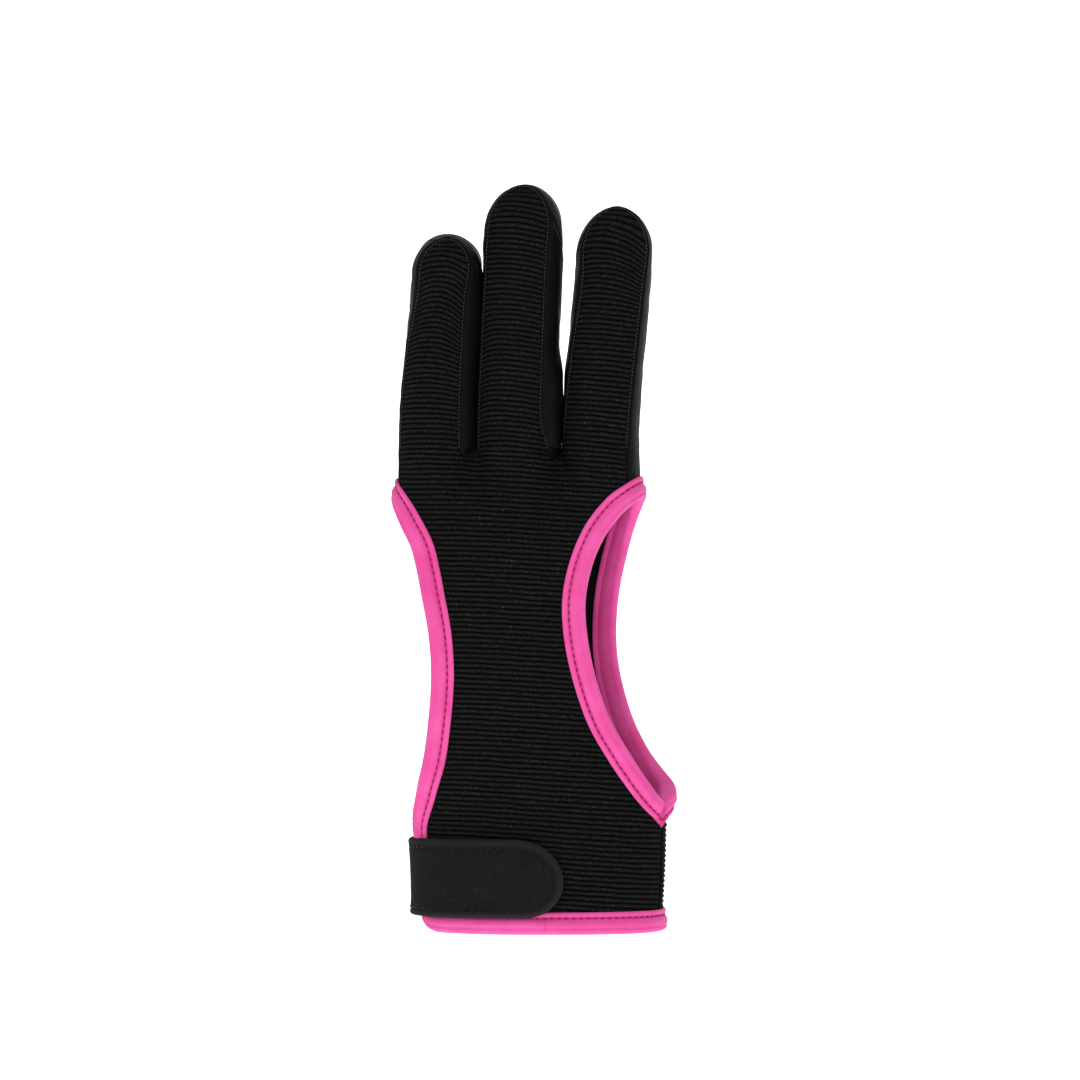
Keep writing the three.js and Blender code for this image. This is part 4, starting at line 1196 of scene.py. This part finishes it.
class MakeFourchettes(bpy.types.Operator):
    """Makes the two leather strips between the fingers, each in one piece with its web."""

    bl_idname = "glove.fourchettes"
    bl_label = "Fourchettes"

    def execute(self, context):
        for left, right, drawn in FOURCHETTES:
            self.strip(left, right, **drawn)
        return {"FINISHED"}

    def filling(self, rise, across, left, right, closed, opened):
        """How far the strip's two sides bulge in all, so that they touch up to a height above the web."""
        level = np.linspace(0, 1.4, 60)
        (one, _), (other, _) = finger_place(left, 90.0, level), finger_place(right, -90.0, level)
        gap = np.interp(one[:, 2], other[:, 2], other[:, 0]) - one[:, 0]
        width = np.interp(rise, one[:, 2] - HAND_LENGTH, np.clip(gap + 0.35, 0, 3.2))
        flat = smoothstep(across, 0, 0.2) * (1 - smoothstep(across, 0.8, 1))
        return width * flat * smoothstep(rise, -1.6, 0.5) * (1 - opened * smoothstep(rise, *closed))

    def strip(self, left, right, depth, seed, share, closed, opened):
        across = np.linspace(0, 1, 15)
        across = np.unique(np.concatenate([across, [0.02, 0.04, 0.96, 0.98]]))[None, :]

        def side(finger, name, level):
            back = back_seam(finger, name, level, -HALF_GAP)
            palm = palm_seam(finger, name, level) - np.degrees(HALF_GAP / (finger["width"] / 2))
            sign = -1 if name == "left" else 1
            return finger_place(finger, sign * lerp(back, np.maximum(palm, back + 0.5), across), level)

        def levels(finger):
            end = arch_level(finger, STRIP_LAST, HALF_GAP)
            return np.linspace(0, end, round(finger["length"] / 0.9))[:, None]

        (from_points, from_outs), (to_points, to_outs) = (
            side(finger, name, np.array([[0.0]])) for finger, name in ((left, "right"), (right, "left")))
        angles = np.linspace(0, 180, 21)[1:-1][:, None]
        web = lerp(from_points, to_points, (1 - cos(angles))[..., None] / 2)
        domed = smoothstep(across, 0, 0.25) * (1 - smoothstep(across, 0.75, 1))
        web[..., 2] = HAND_LENGTH - notch_dip(left, -cos(angles)) * (1 - 1.5 * domed)
        first, second = side(left, "right", levels(left)), side(right, "left", levels(right))
        points = np.concatenate([first[0][::-1], web, second[0]])
        rows = np.gradient(points, axis=0)
        columns = np.gradient(points, axis=1)
        web_outs = unit(np.cross(rows, columns))[len(first[0]):len(first[0]) + len(web)]
        if (web_outs[..., 2] < 0).mean() > 0.5:
            web_outs = -web_outs
        outs = np.concatenate([first[1][::-1], web_outs, second[1]])
        leather = Cloth()
        run = np.concatenate([np.zeros((1, points.shape[1])), np.cumsum(
            np.linalg.norm(np.diff(points, axis=0), axis=-1), 0)])
        one = from_start(points)
        filled = self.filling(points[..., 2] - HAND_LENGTH, across, left, right, closed, opened)
        on_left = np.arange(len(points))[:, None] < len(first[0]) + len(web) / 2
        filled = filled * np.where(on_left, share, 1 - share)
        filled[len(first[0]):len(first[0]) + len(web)] *= cos(angles) ** 4
        slanted = points @ np.array([0.2, 1.0, 0.55])
        wrinkle = np.sin(slanted / 1.5 + 1.6 * ripple(points, 14, seed))
        wrinkle = wrinkle * (0.5 + 0.5 * ripple(points, 11, seed + 2))
        deep = depth * np.exp(-((points[..., 2] - HAND_LENGTH - 8) / 22) ** 2) + 0.08
        lift = wrinkle * deep * np.sin(np.pi * across) ** 0.7 + filled
        turned = lerp(1.0, FLAT_SEAM, smoothstep(across, 0.3, 0.6))
        leather.patch(points, outs, None, u=one, v=run, lift=lift, turned=turned)
        name = f"fourchette_{left['name']}_{right['name']}"
        obj = leather.shell(f"{name}_leather", WEB_WALL, shared("black_leather", black_leather))
        settle(obj, name)


# Bindings

def binding_section(size):
    """Points round the binding from its outer edge over the fold to its inner edge: in from the opening's
    edge, out from the cloth, and a share of painted shade, most in the stitched groove."""
    width, roll, groove = size.binding_width / MM, size.binding_roll / MM, size.groove / MM
    flange = (width + groove) / 2
    outer = [
        (width, 0.02, 0.3), (width + 0.05, 0.35, 0.1), (width - 0.1, 0.66, 0), (width - 0.45, 0.82, 0),
        (flange, 0.86, 0), (groove + 0.45, 0.74, 0.2), (groove + 0.2, 0.52, 0.7), (groove, 0.4, 1),
        (groove - 0.2, 0.55, 0.7), (groove - 0.5, 0.9, 0.15),
    ]
    start = groove - 0.8
    turn = np.linspace(0, 1, 7)
    crown = [(start * (1 - t) + 0.9 * t, 1.12 + (roll - 1.12) * np.sin(np.pi * min(1.0, t * 1.15)) ** 0.8
              if t < 0.87 else roll * 0.94, 0) for t in turn]
    fold = []
    centre, half = (roll * 0.94 - WALL - 1.1) / 2, (roll * 0.94 + WALL + 1.1) / 2
    for angle in np.linspace(90, -90, 12)[1:]:
        fold.append((0.9 - 1.25 * cos(angle), centre + half * sin(angle), 0))
    inner = [
        (2.2, -WALL - 1.15, 0), (groove - 0.3, -WALL - 1.0, 0.3), (groove, -WALL - 0.75, 0.8),
        (groove + 0.3, -WALL - 1.0, 0.3), (width - 0.3, -WALL - 0.95, 0), (width, -WALL - 0.65, 0),
        (width - 0.1, -WALL - 0.36, 0), (groove, -WALL - 0.36, 0), (1.6, -WALL - 0.36, 0.5),
        (1.0, -WALL * 0.5, 0.5), (1.6, 0.04, 0.5), (groove, 0.04, 0.5), (width - 0.4, 0.02, 0.5),
    ]
    return np.array(outer + crown + fold + inner)


HEM_LAP = (0.6, -18.0, 0.0)      # where the hem's tape laps over its other end


def under_strap(places):
    """1 for places pressed flat by the strap, 0 elsewhere."""
    x, y, z = np.moveaxis(places, -1, 0)
    covered = smoothstep(z, STRAP_FOOT - 0.4, STRAP_FOOT + 0.8)
    covered = covered * (1 - smoothstep(z, STRAP_FOOT + STRAP_HEIGHT - 0.8, STRAP_FOOT + STRAP_HEIGHT + 0.4))
    on_back, on_palm = 1 - smoothstep(x, STRAP_REACH - 5, STRAP_REACH - 1), 1 - smoothstep(x, -12, -6)
    return covered * np.where(y < 0, on_back, on_palm)


FLARE = 1.4                      # how far the thumb's binding stands out beside its V
PRESSED = 0.85                   # most that a binding rises under the strap


def band(name, node, curve, sharp, seed):
    """A binding along a closed path. Seen from outside, the panel lies to the right of the path."""
    size = sizes()
    stations = even(curve, 0.8)
    if sharp:
        beside = np.array([0.25, 0.5])
        stations = np.vstack([stations[:1], lerp(stations[0], stations[1], beside[:, None]), stations[1:-1],
                              lerp(stations[-1], stations[-2], beside[::-1, None]), stations[-1:]])
    else:
        lap = np.argmin(np.linalg.norm(hand_point(*stations.T) - HEM_LAP, axis=1))
        stations = np.insert(stations, lap + 1, lerp(stations[lap], stations[lap + 1], 0.15), 0)
    stations = stations[:-1]
    points = hand_point(*stations.T)
    behind, ahead = unit(points - np.roll(points, 1, 0)), unit(np.roll(points, -1, 0) - points)
    around, up = hand_slopes(*stations.T)
    outs = unit(np.cross(around, up))
    into = unit(np.cross(behind + ahead, outs))
    bend = np.degrees(np.arccos(np.clip((behind * ahead).sum(1), -1, 1)))
    mitre = np.minimum(1.5, 1 / cos(bend / 2))
    a, b, c = (around * around).sum(1), (around * up).sum(1), (up * up).sum(1)
    d, e = (into * around).sum(1), (into * up).sum(1)
    scale = mitre / (a * c - b * b)
    turns, rises = (d * c - e * b) * scale, (e * a - d * b) * scale
    section = binding_section(size)
    run = along(np.vstack([points, points[:1]]))
    total, run = run[-1], run[:-1]
    pucker = np.sin(run * 2 * np.pi / (size.stitch_pitch / MM) + 1.5 * ripple(points, 30, seed))
    uneven = ripple(points, 26, seed + 1)
    kink, flare = np.zeros((2, len(run)))
    if sharp:
        away = np.minimum(run, total - run)
        kink = np.exp(-((away / 0.3) ** 2))
        flare = FLARE * smoothstep(stations[:, 0], 74, 88) * (1 - smoothstep(points[:, 2], 41, 50))
    lapped = np.zeros(len(run))
    if not sharp:
        lapped = np.where(np.arange(len(run)) > lap, np.exp(-np.maximum(run - run[lap], 0) / 7), 0)
    drift = 0.3 * ripple(points, 48, seed + 3)
    rings, groove_shade = [], []
    for inward, out, depth in section:
        reach = inward * (1 + 0.012 * uneven * (inward > 3)) + drift
        place, way = hand_place(stations[:, 0] + turns * reach, stations[:, 1] + rises * reach)
        raised = out > 0.3
        swell = (0.05 * pucker * (0.3 < inward < 5.6) + 0.06 * uneven + 0.28 * lapped) * raised
        held = under_strap(place) * raised
        flared = out * (1 - 0.6 * kink * raised) + swell + flare * smoothstep(out, -0.5, 0.8)
        height = lerp(flared, min(out, PRESSED), held)
        rings.append(place + way * height[:, None])
        # painted shade: the section's share, full at the V's sharp kink
        groove_shade.append(np.full(len(run), depth) + kink * raised)
    rings = np.stack(rings, 1)
    count, around_count = rings.shape[:2]
    index = np.arange(count * around_count).reshape(count, around_count)
    after = np.roll(index, -1, 0)
    beside = lambda grid: np.roll(grid, -1, 1)
    faces = np.stack([index, after, beside(after), beside(index)], -1).reshape(-1, 4)
    obj = solid(name, rings.reshape(-1, 3), faces, shared("pink_tape", pink_binding))
    per_point(obj, "depth", np.clip(np.stack(groove_shade, 1), 0, 1).ravel())
    girth = along(np.vstack([section[:, :2], section[:1, :2]]))[:-1]
    flat = np.stack([np.broadcast_to(girth, (count, around_count)),
                     np.broadcast_to(run[:, None], (count, around_count))], -1)
    unwrapped(obj, flat.reshape(-1, 2))
    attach(obj, "root")
    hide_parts(node)

    groove = size.groove / MM
    reach = groove + drift
    spots, ways = hand_place(stations[:, 0] + turns * reach, stations[:, 1] + rises * reach)
    line = spots + ways * (0.42 + size.thread / MM * 0.25 + flare[:, None])
    line, ways = np.vstack([line, line[:1]]), np.vstack([ways, ways[:1]])
    thread = shared("binding_thread", lambda n: thread_finish(n, colours().binding_thread))
    stitches = stitched(f"{name}_stitches", [(line, ways)], thread, "root", size.stitch_pitch / MM,
                        size.stitch_length, size.thread, seed)
    return obj


class MakeBindings(bpy.types.Operator):
    """Makes the pink bindings round the thumb's opening, the open side and the hem."""

    bl_idname = "glove.bindings"
    bl_label = "Bindings"

    def execute(self, context):
        band("thumb_opening_binding", "thumb_binding", THUMB_CURVE[::-1], True, 41)
        band("edge_and_hem_binding", "edge_binding", EDGE_CURVE, False, 52)
        return {"FINISHED"}


# Strap

class MakeStrap(bpy.types.Operator):
    """Makes the wrist strap with its rounded end and stitching."""

    bl_idname = "glove.strap"
    bl_label = "Wrist strap"

    def execute(self, context):
        size = sizes()
        half = STRAP_HEIGHT / 2
        sides = np.sin(np.linspace(-90, 90, 61) * np.pi / 180)
        heights = (STRAP_FOOT + half + half * sides)[:, None]
        last = turn_at(self.end(sides), heights[:, 0])
        shares = np.concatenate([np.linspace(0, 0.93, 120), np.linspace(0.93, 1, 26)[1:]])[None, :]
        turns = lerp(STRAP_ROOT, last[:, None], shares)
        points, outs = self.place(turns, heights)
        x, z = self.end(sides), heights[:, 0]
        outline = np.stack([x, np.zeros(len(x)), z], -1)
        outline = np.vstack([(-60, 0, z[0]), outline, (-60, 0, z[-1])])
        run = along(outline)
        spots = read_along(np.arange(0, run[-1], 0.2), run, outline)
        on_back = cos(turns) > 0
        flat = points * (1, 0, 1)
        inside = np.minimum(nearest(spots, flat.reshape(-1, 3)).reshape(turns.shape),
                            half - np.abs(heights - STRAP_FOOT - half))
        start = self.place(np.full(len(z), STRAP_ROOT), z)[0]
        foot = np.linalg.norm(points - start[:, None, :], axis=-1)
        inside = np.where(on_back, inside, np.minimum(half - np.abs(heights - STRAP_FOOT - half), foot))
        inside = np.maximum(inside, 0)
        edge = STRAP_BODY * np.sqrt(np.clip(1 - (1 - np.minimum(inside / 1.0, 1)) ** 2, 0, 1))
        row = size.strap_inset / MM
        dimple = -0.3 * np.exp(-(((inside - row) / 0.5) ** 2)) - 0.14 * smoothstep(inside, row, row + 2)
        wave = 0.16 * ripple(points, 24, 61) + 0.05 * ripple(points, 5, 62)
        fuzz = 0.07 * ripple(points, 1.1, 63) * np.exp(-inside / 1.0)
        lift = edge + dimple + wave * smoothstep(inside, 0, 2) + fuzz
        felt = Cloth()
        first = from_start(points)
        # share of painted highlight on the border outside the stitching, kept as depth
        rim = 1 - smoothstep(inside, 0.5, row)
        felt.patch(points + outs * STRAP_LIFT, outs, None, u=first, v=np.broadcast_to(heights, first.shape),
                   lift=np.maximum(lift, 0.12), depth=rim)
        obj = felt.shell("wrist_strap_felt", 0.05, shared("strap_felt", strap_felt), hemmed=False)
        lines = self.seams(row, half)
        thread = shared("black_thread", lambda n: thread_finish(n, colours().thread))
        stitches = stitched("wrist_strap_stitches", lines, thread, "root", 2.6, 0.0019, size.thread, 64)
        settle(obj, "wrist_strap")
        return {"FINISHED"}

    def end(self, sides):
        """X of the free end at shares from -1 to 1 up the strap; its upper corner is the wider one."""
        low = -0.1
        share = np.where(sides < low, (low - sides) / (1 + low), (sides - low) / (1 - low))
        reach = np.where(sides < low, STRAP_HEIGHT / 2, 1.25 * STRAP_HEIGHT / 2)
        return STRAP_REACH - reach * (1 - np.sqrt(np.clip(1 - share**2, 0, 1)))

    def place(self, turns, heights):
        """Places and ways out under the strap, which stands straighter than the wrist."""
        points, outs = hand_place(turns, lerp(heights, STRAP_FOOT + STRAP_HEIGHT / 2, 0.7))
        points[..., 2] = heights
        return points, outs

    def seams(self, row, half):
        """Stitching a little way in from the strap's edges, round its free end."""
        middle = STRAP_FOOT + half
        inner = half - row
        angles = np.linspace(-90, 90, 60)
        x = self.end(sin(angles)) - row * cos(angles)
        z = middle + inner * sin(angles)
        turns = np.linspace(STRAP_ROOT + 3, turn_at(x[0], middle), 200)
        all_turns = np.concatenate([turns, turn_at(x, z), turns[::-1]])
        all_heights = np.concatenate([np.full(200, middle - inner), z, np.full(200, middle + inner)])
        points, outs = self.place(all_turns, all_heights)
        return [(points + outs * (STRAP_LIFT + STRAP_BODY - 0.24), outs)]


SEAM_INSET = 0.32            # from a finger's seam to its stitches


class MakeSeams(bpy.types.Operator):
    """Makes the fine stitches along the fingers' seams."""

    bl_idname = "glove.seams"
    bl_label = "Seam stitches"

    def execute(self, context):
        size = sizes()
        lines = []
        for finger in FINGERS.values():
            top = arch_level(finger, 88, HALF_GAP)
            level = np.linspace(0.0, top, 200)
            for side, sign in (("left", -1), ("right", 1)):
                around = back_seam(finger, side, level, HALF_GAP)
                narrow = np.maximum(cos(np.clip(level - 1, 0, 1) * 90), 0.3)
                inset = np.degrees(SEAM_INSET / (finger["width"] / 2 * narrow))
                points, outs = finger_place(finger, sign * np.maximum(around - inset, 0), level)
                lines.append((points + outs * 0.02, outs))
        thread = shared("seam_thread", lambda n: thread_finish(n, colours().seam_thread))
        stitches = stitched("finger_seam_stitches", lines, thread, "root", 1.0, 0.0007, 0.0003, 71)
        return {"FINISHED"}


# Stage

VIEW_WIDTH = 0.297           # width of the photograph at the glove
VIEW_DISTANCE = 1.5
VIEW_CENTRE = (-0.00055, -0.014, 0.1078)
SENSOR = 36.0
SKY_STRENGTH, PAPER_GLOW = 0.17, 0.85
AIM = (0, 0, 0.1)
LIGHTS = {                   # place, size in metres and power in watts
    "front_left": ((-0.7, -1.3, 0.75), 0.9, 5.6),
    "front_right": ((0.8, -1.4, 0.35), 0.8, 2.6),
    "overhead": ((0.0, -0.3, 1.3), 0.9, 4.8),
}


class MakeStage(bpy.types.Operator):
    """Makes the pale backdrop, the soft lights and the camera."""

    bl_idname = "glove.stage"
    bl_label = "Stage"

    def execute(self, context):
        scene = context.scene
        scene.view_settings.view_transform = "Standard"
        backdrop = self.backdrop()
        world = scene.world or bpy.data.worlds.new("Studio")
        scene.world = world
        world.use_nodes = True
        sky = world.node_tree.nodes["Background"]
        sky.inputs["Color"].default_value = (1, 1, 1, 1)
        sky.inputs["Strength"].default_value = SKY_STRENGTH
        for name, (place, size, power) in LIGHTS.items():
            self.light(name, place, size, power)
        camera = bpy.data.objects.new("Camera", bpy.data.cameras.new("Camera"))
        bpy.context.collection.objects.link(camera)
        camera.location = (VIEW_CENTRE[0], VIEW_CENTRE[1] - VIEW_DISTANCE, VIEW_CENTRE[2])
        camera.rotation_euler = (np.pi / 2, 0, 0)
        camera.data.sensor_width = SENSOR
        camera.data.lens = SENSOR * VIEW_DISTANCE / VIEW_WIDTH
        scene.camera = camera
        return {"FINISHED"}

    def backdrop(self):
        """A floor that rises in one curve behind the glove."""
        radius, floor, back, half = 0.5, -0.16, 0.9, 2.5
        angles = np.linspace(0, 90, 17)
        profile = [(-3.0, floor)]
        profile += [(back + radius * sin(a), floor + radius * (1 - cos(a))) for a in angles]
        profile += [(back + radius, 3.0)]
        points = [(side * half / MM, y / MM, z / MM) for y, z in profile for side in (-1, 1)]
        faces = [(2 * i, 2 * i + 1, 2 * i + 3, 2 * i + 2) for i in range(len(profile) - 1)]
        mesh = bpy.data.meshes.new("backdrop")
        mesh.from_pydata((np.array(points) * MM).tolist(), [], faces)
        mesh.shade_smooth()
        obj = bpy.data.objects.new("backdrop", mesh)
        bpy.context.collection.objects.link(obj)
        paper = Finish("backdrop_paper", Roughness=0.9, Specular_IOR_Level=0.1)
        paper.shader.inputs["Emission Color"].default_value = (1, 1, 1, 1)
        paper.shader.inputs["Emission Strength"].default_value = PAPER_GLOW
        grain = paper.noise(30, 2)
        mesh.materials.append(paper.finish(Base_Color=paper.mix(
            grain.between(0.3, 0.7) * 0.3, (0.93, 0.93, 0.93, 1), (0.9, 0.9, 0.9, 1))))
        return obj

    def light(self, name, place, size, power):
        data = bpy.data.lights.new(name, "AREA")
        data.size, data.energy = size, power
        lamp = bpy.data.objects.new(name, data)
        bpy.context.collection.objects.link(lamp)
        lamp.location = place
        aim = Vector(AIM) - Vector(place)
        lamp.rotation_euler = aim.to_track_quat("-Z", "Y").to_euler()
        return lamp


OPERATORS = (MakeBackPanel, MakePalmPanel, MakePalmCuff, MakeFourchettes, MakeBindings, MakeStrap, MakeSeams,
             MakeStage)


class GlovePanel(bpy.types.Panel):
    """Lists the glove's pieces, sizes and colours."""

    bl_idname = "VIEW3D_PT_glove"
    bl_label = "Archery glove"
    bl_space_type = "VIEW_3D"
    bl_region_type = "UI"
    bl_category = "Glove"

    def draw(self, context):
        for operator in OPERATORS:
            self.layout.operator(operator.bl_idname)
        for group in (context.scene.glove_sizes, context.scene.glove_colours):
            for name in group.__annotations__:
                self.layout.prop(group, name)


CLASSES = (GloveSizes, GloveColours, *OPERATORS, GlovePanel)


def register():
    for each in CLASSES:
        bpy.utils.register_class(each)
    bpy.types.Scene.glove_sizes = PointerProperty(type=GloveSizes)
    bpy.types.Scene.glove_colours = PointerProperty(type=GloveColours)


def unregister():
    del bpy.types.Scene.glove_sizes
    del bpy.types.Scene.glove_colours
    for each in reversed(CLASSES):
        bpy.utils.unregister_class(each)


def main():
    register()
    for operator in OPERATORS:
        group, name = operator.bl_idname.split(".")
        getattr(getattr(bpy.ops, group), name)()


if __name__ == "__main__":
    main()
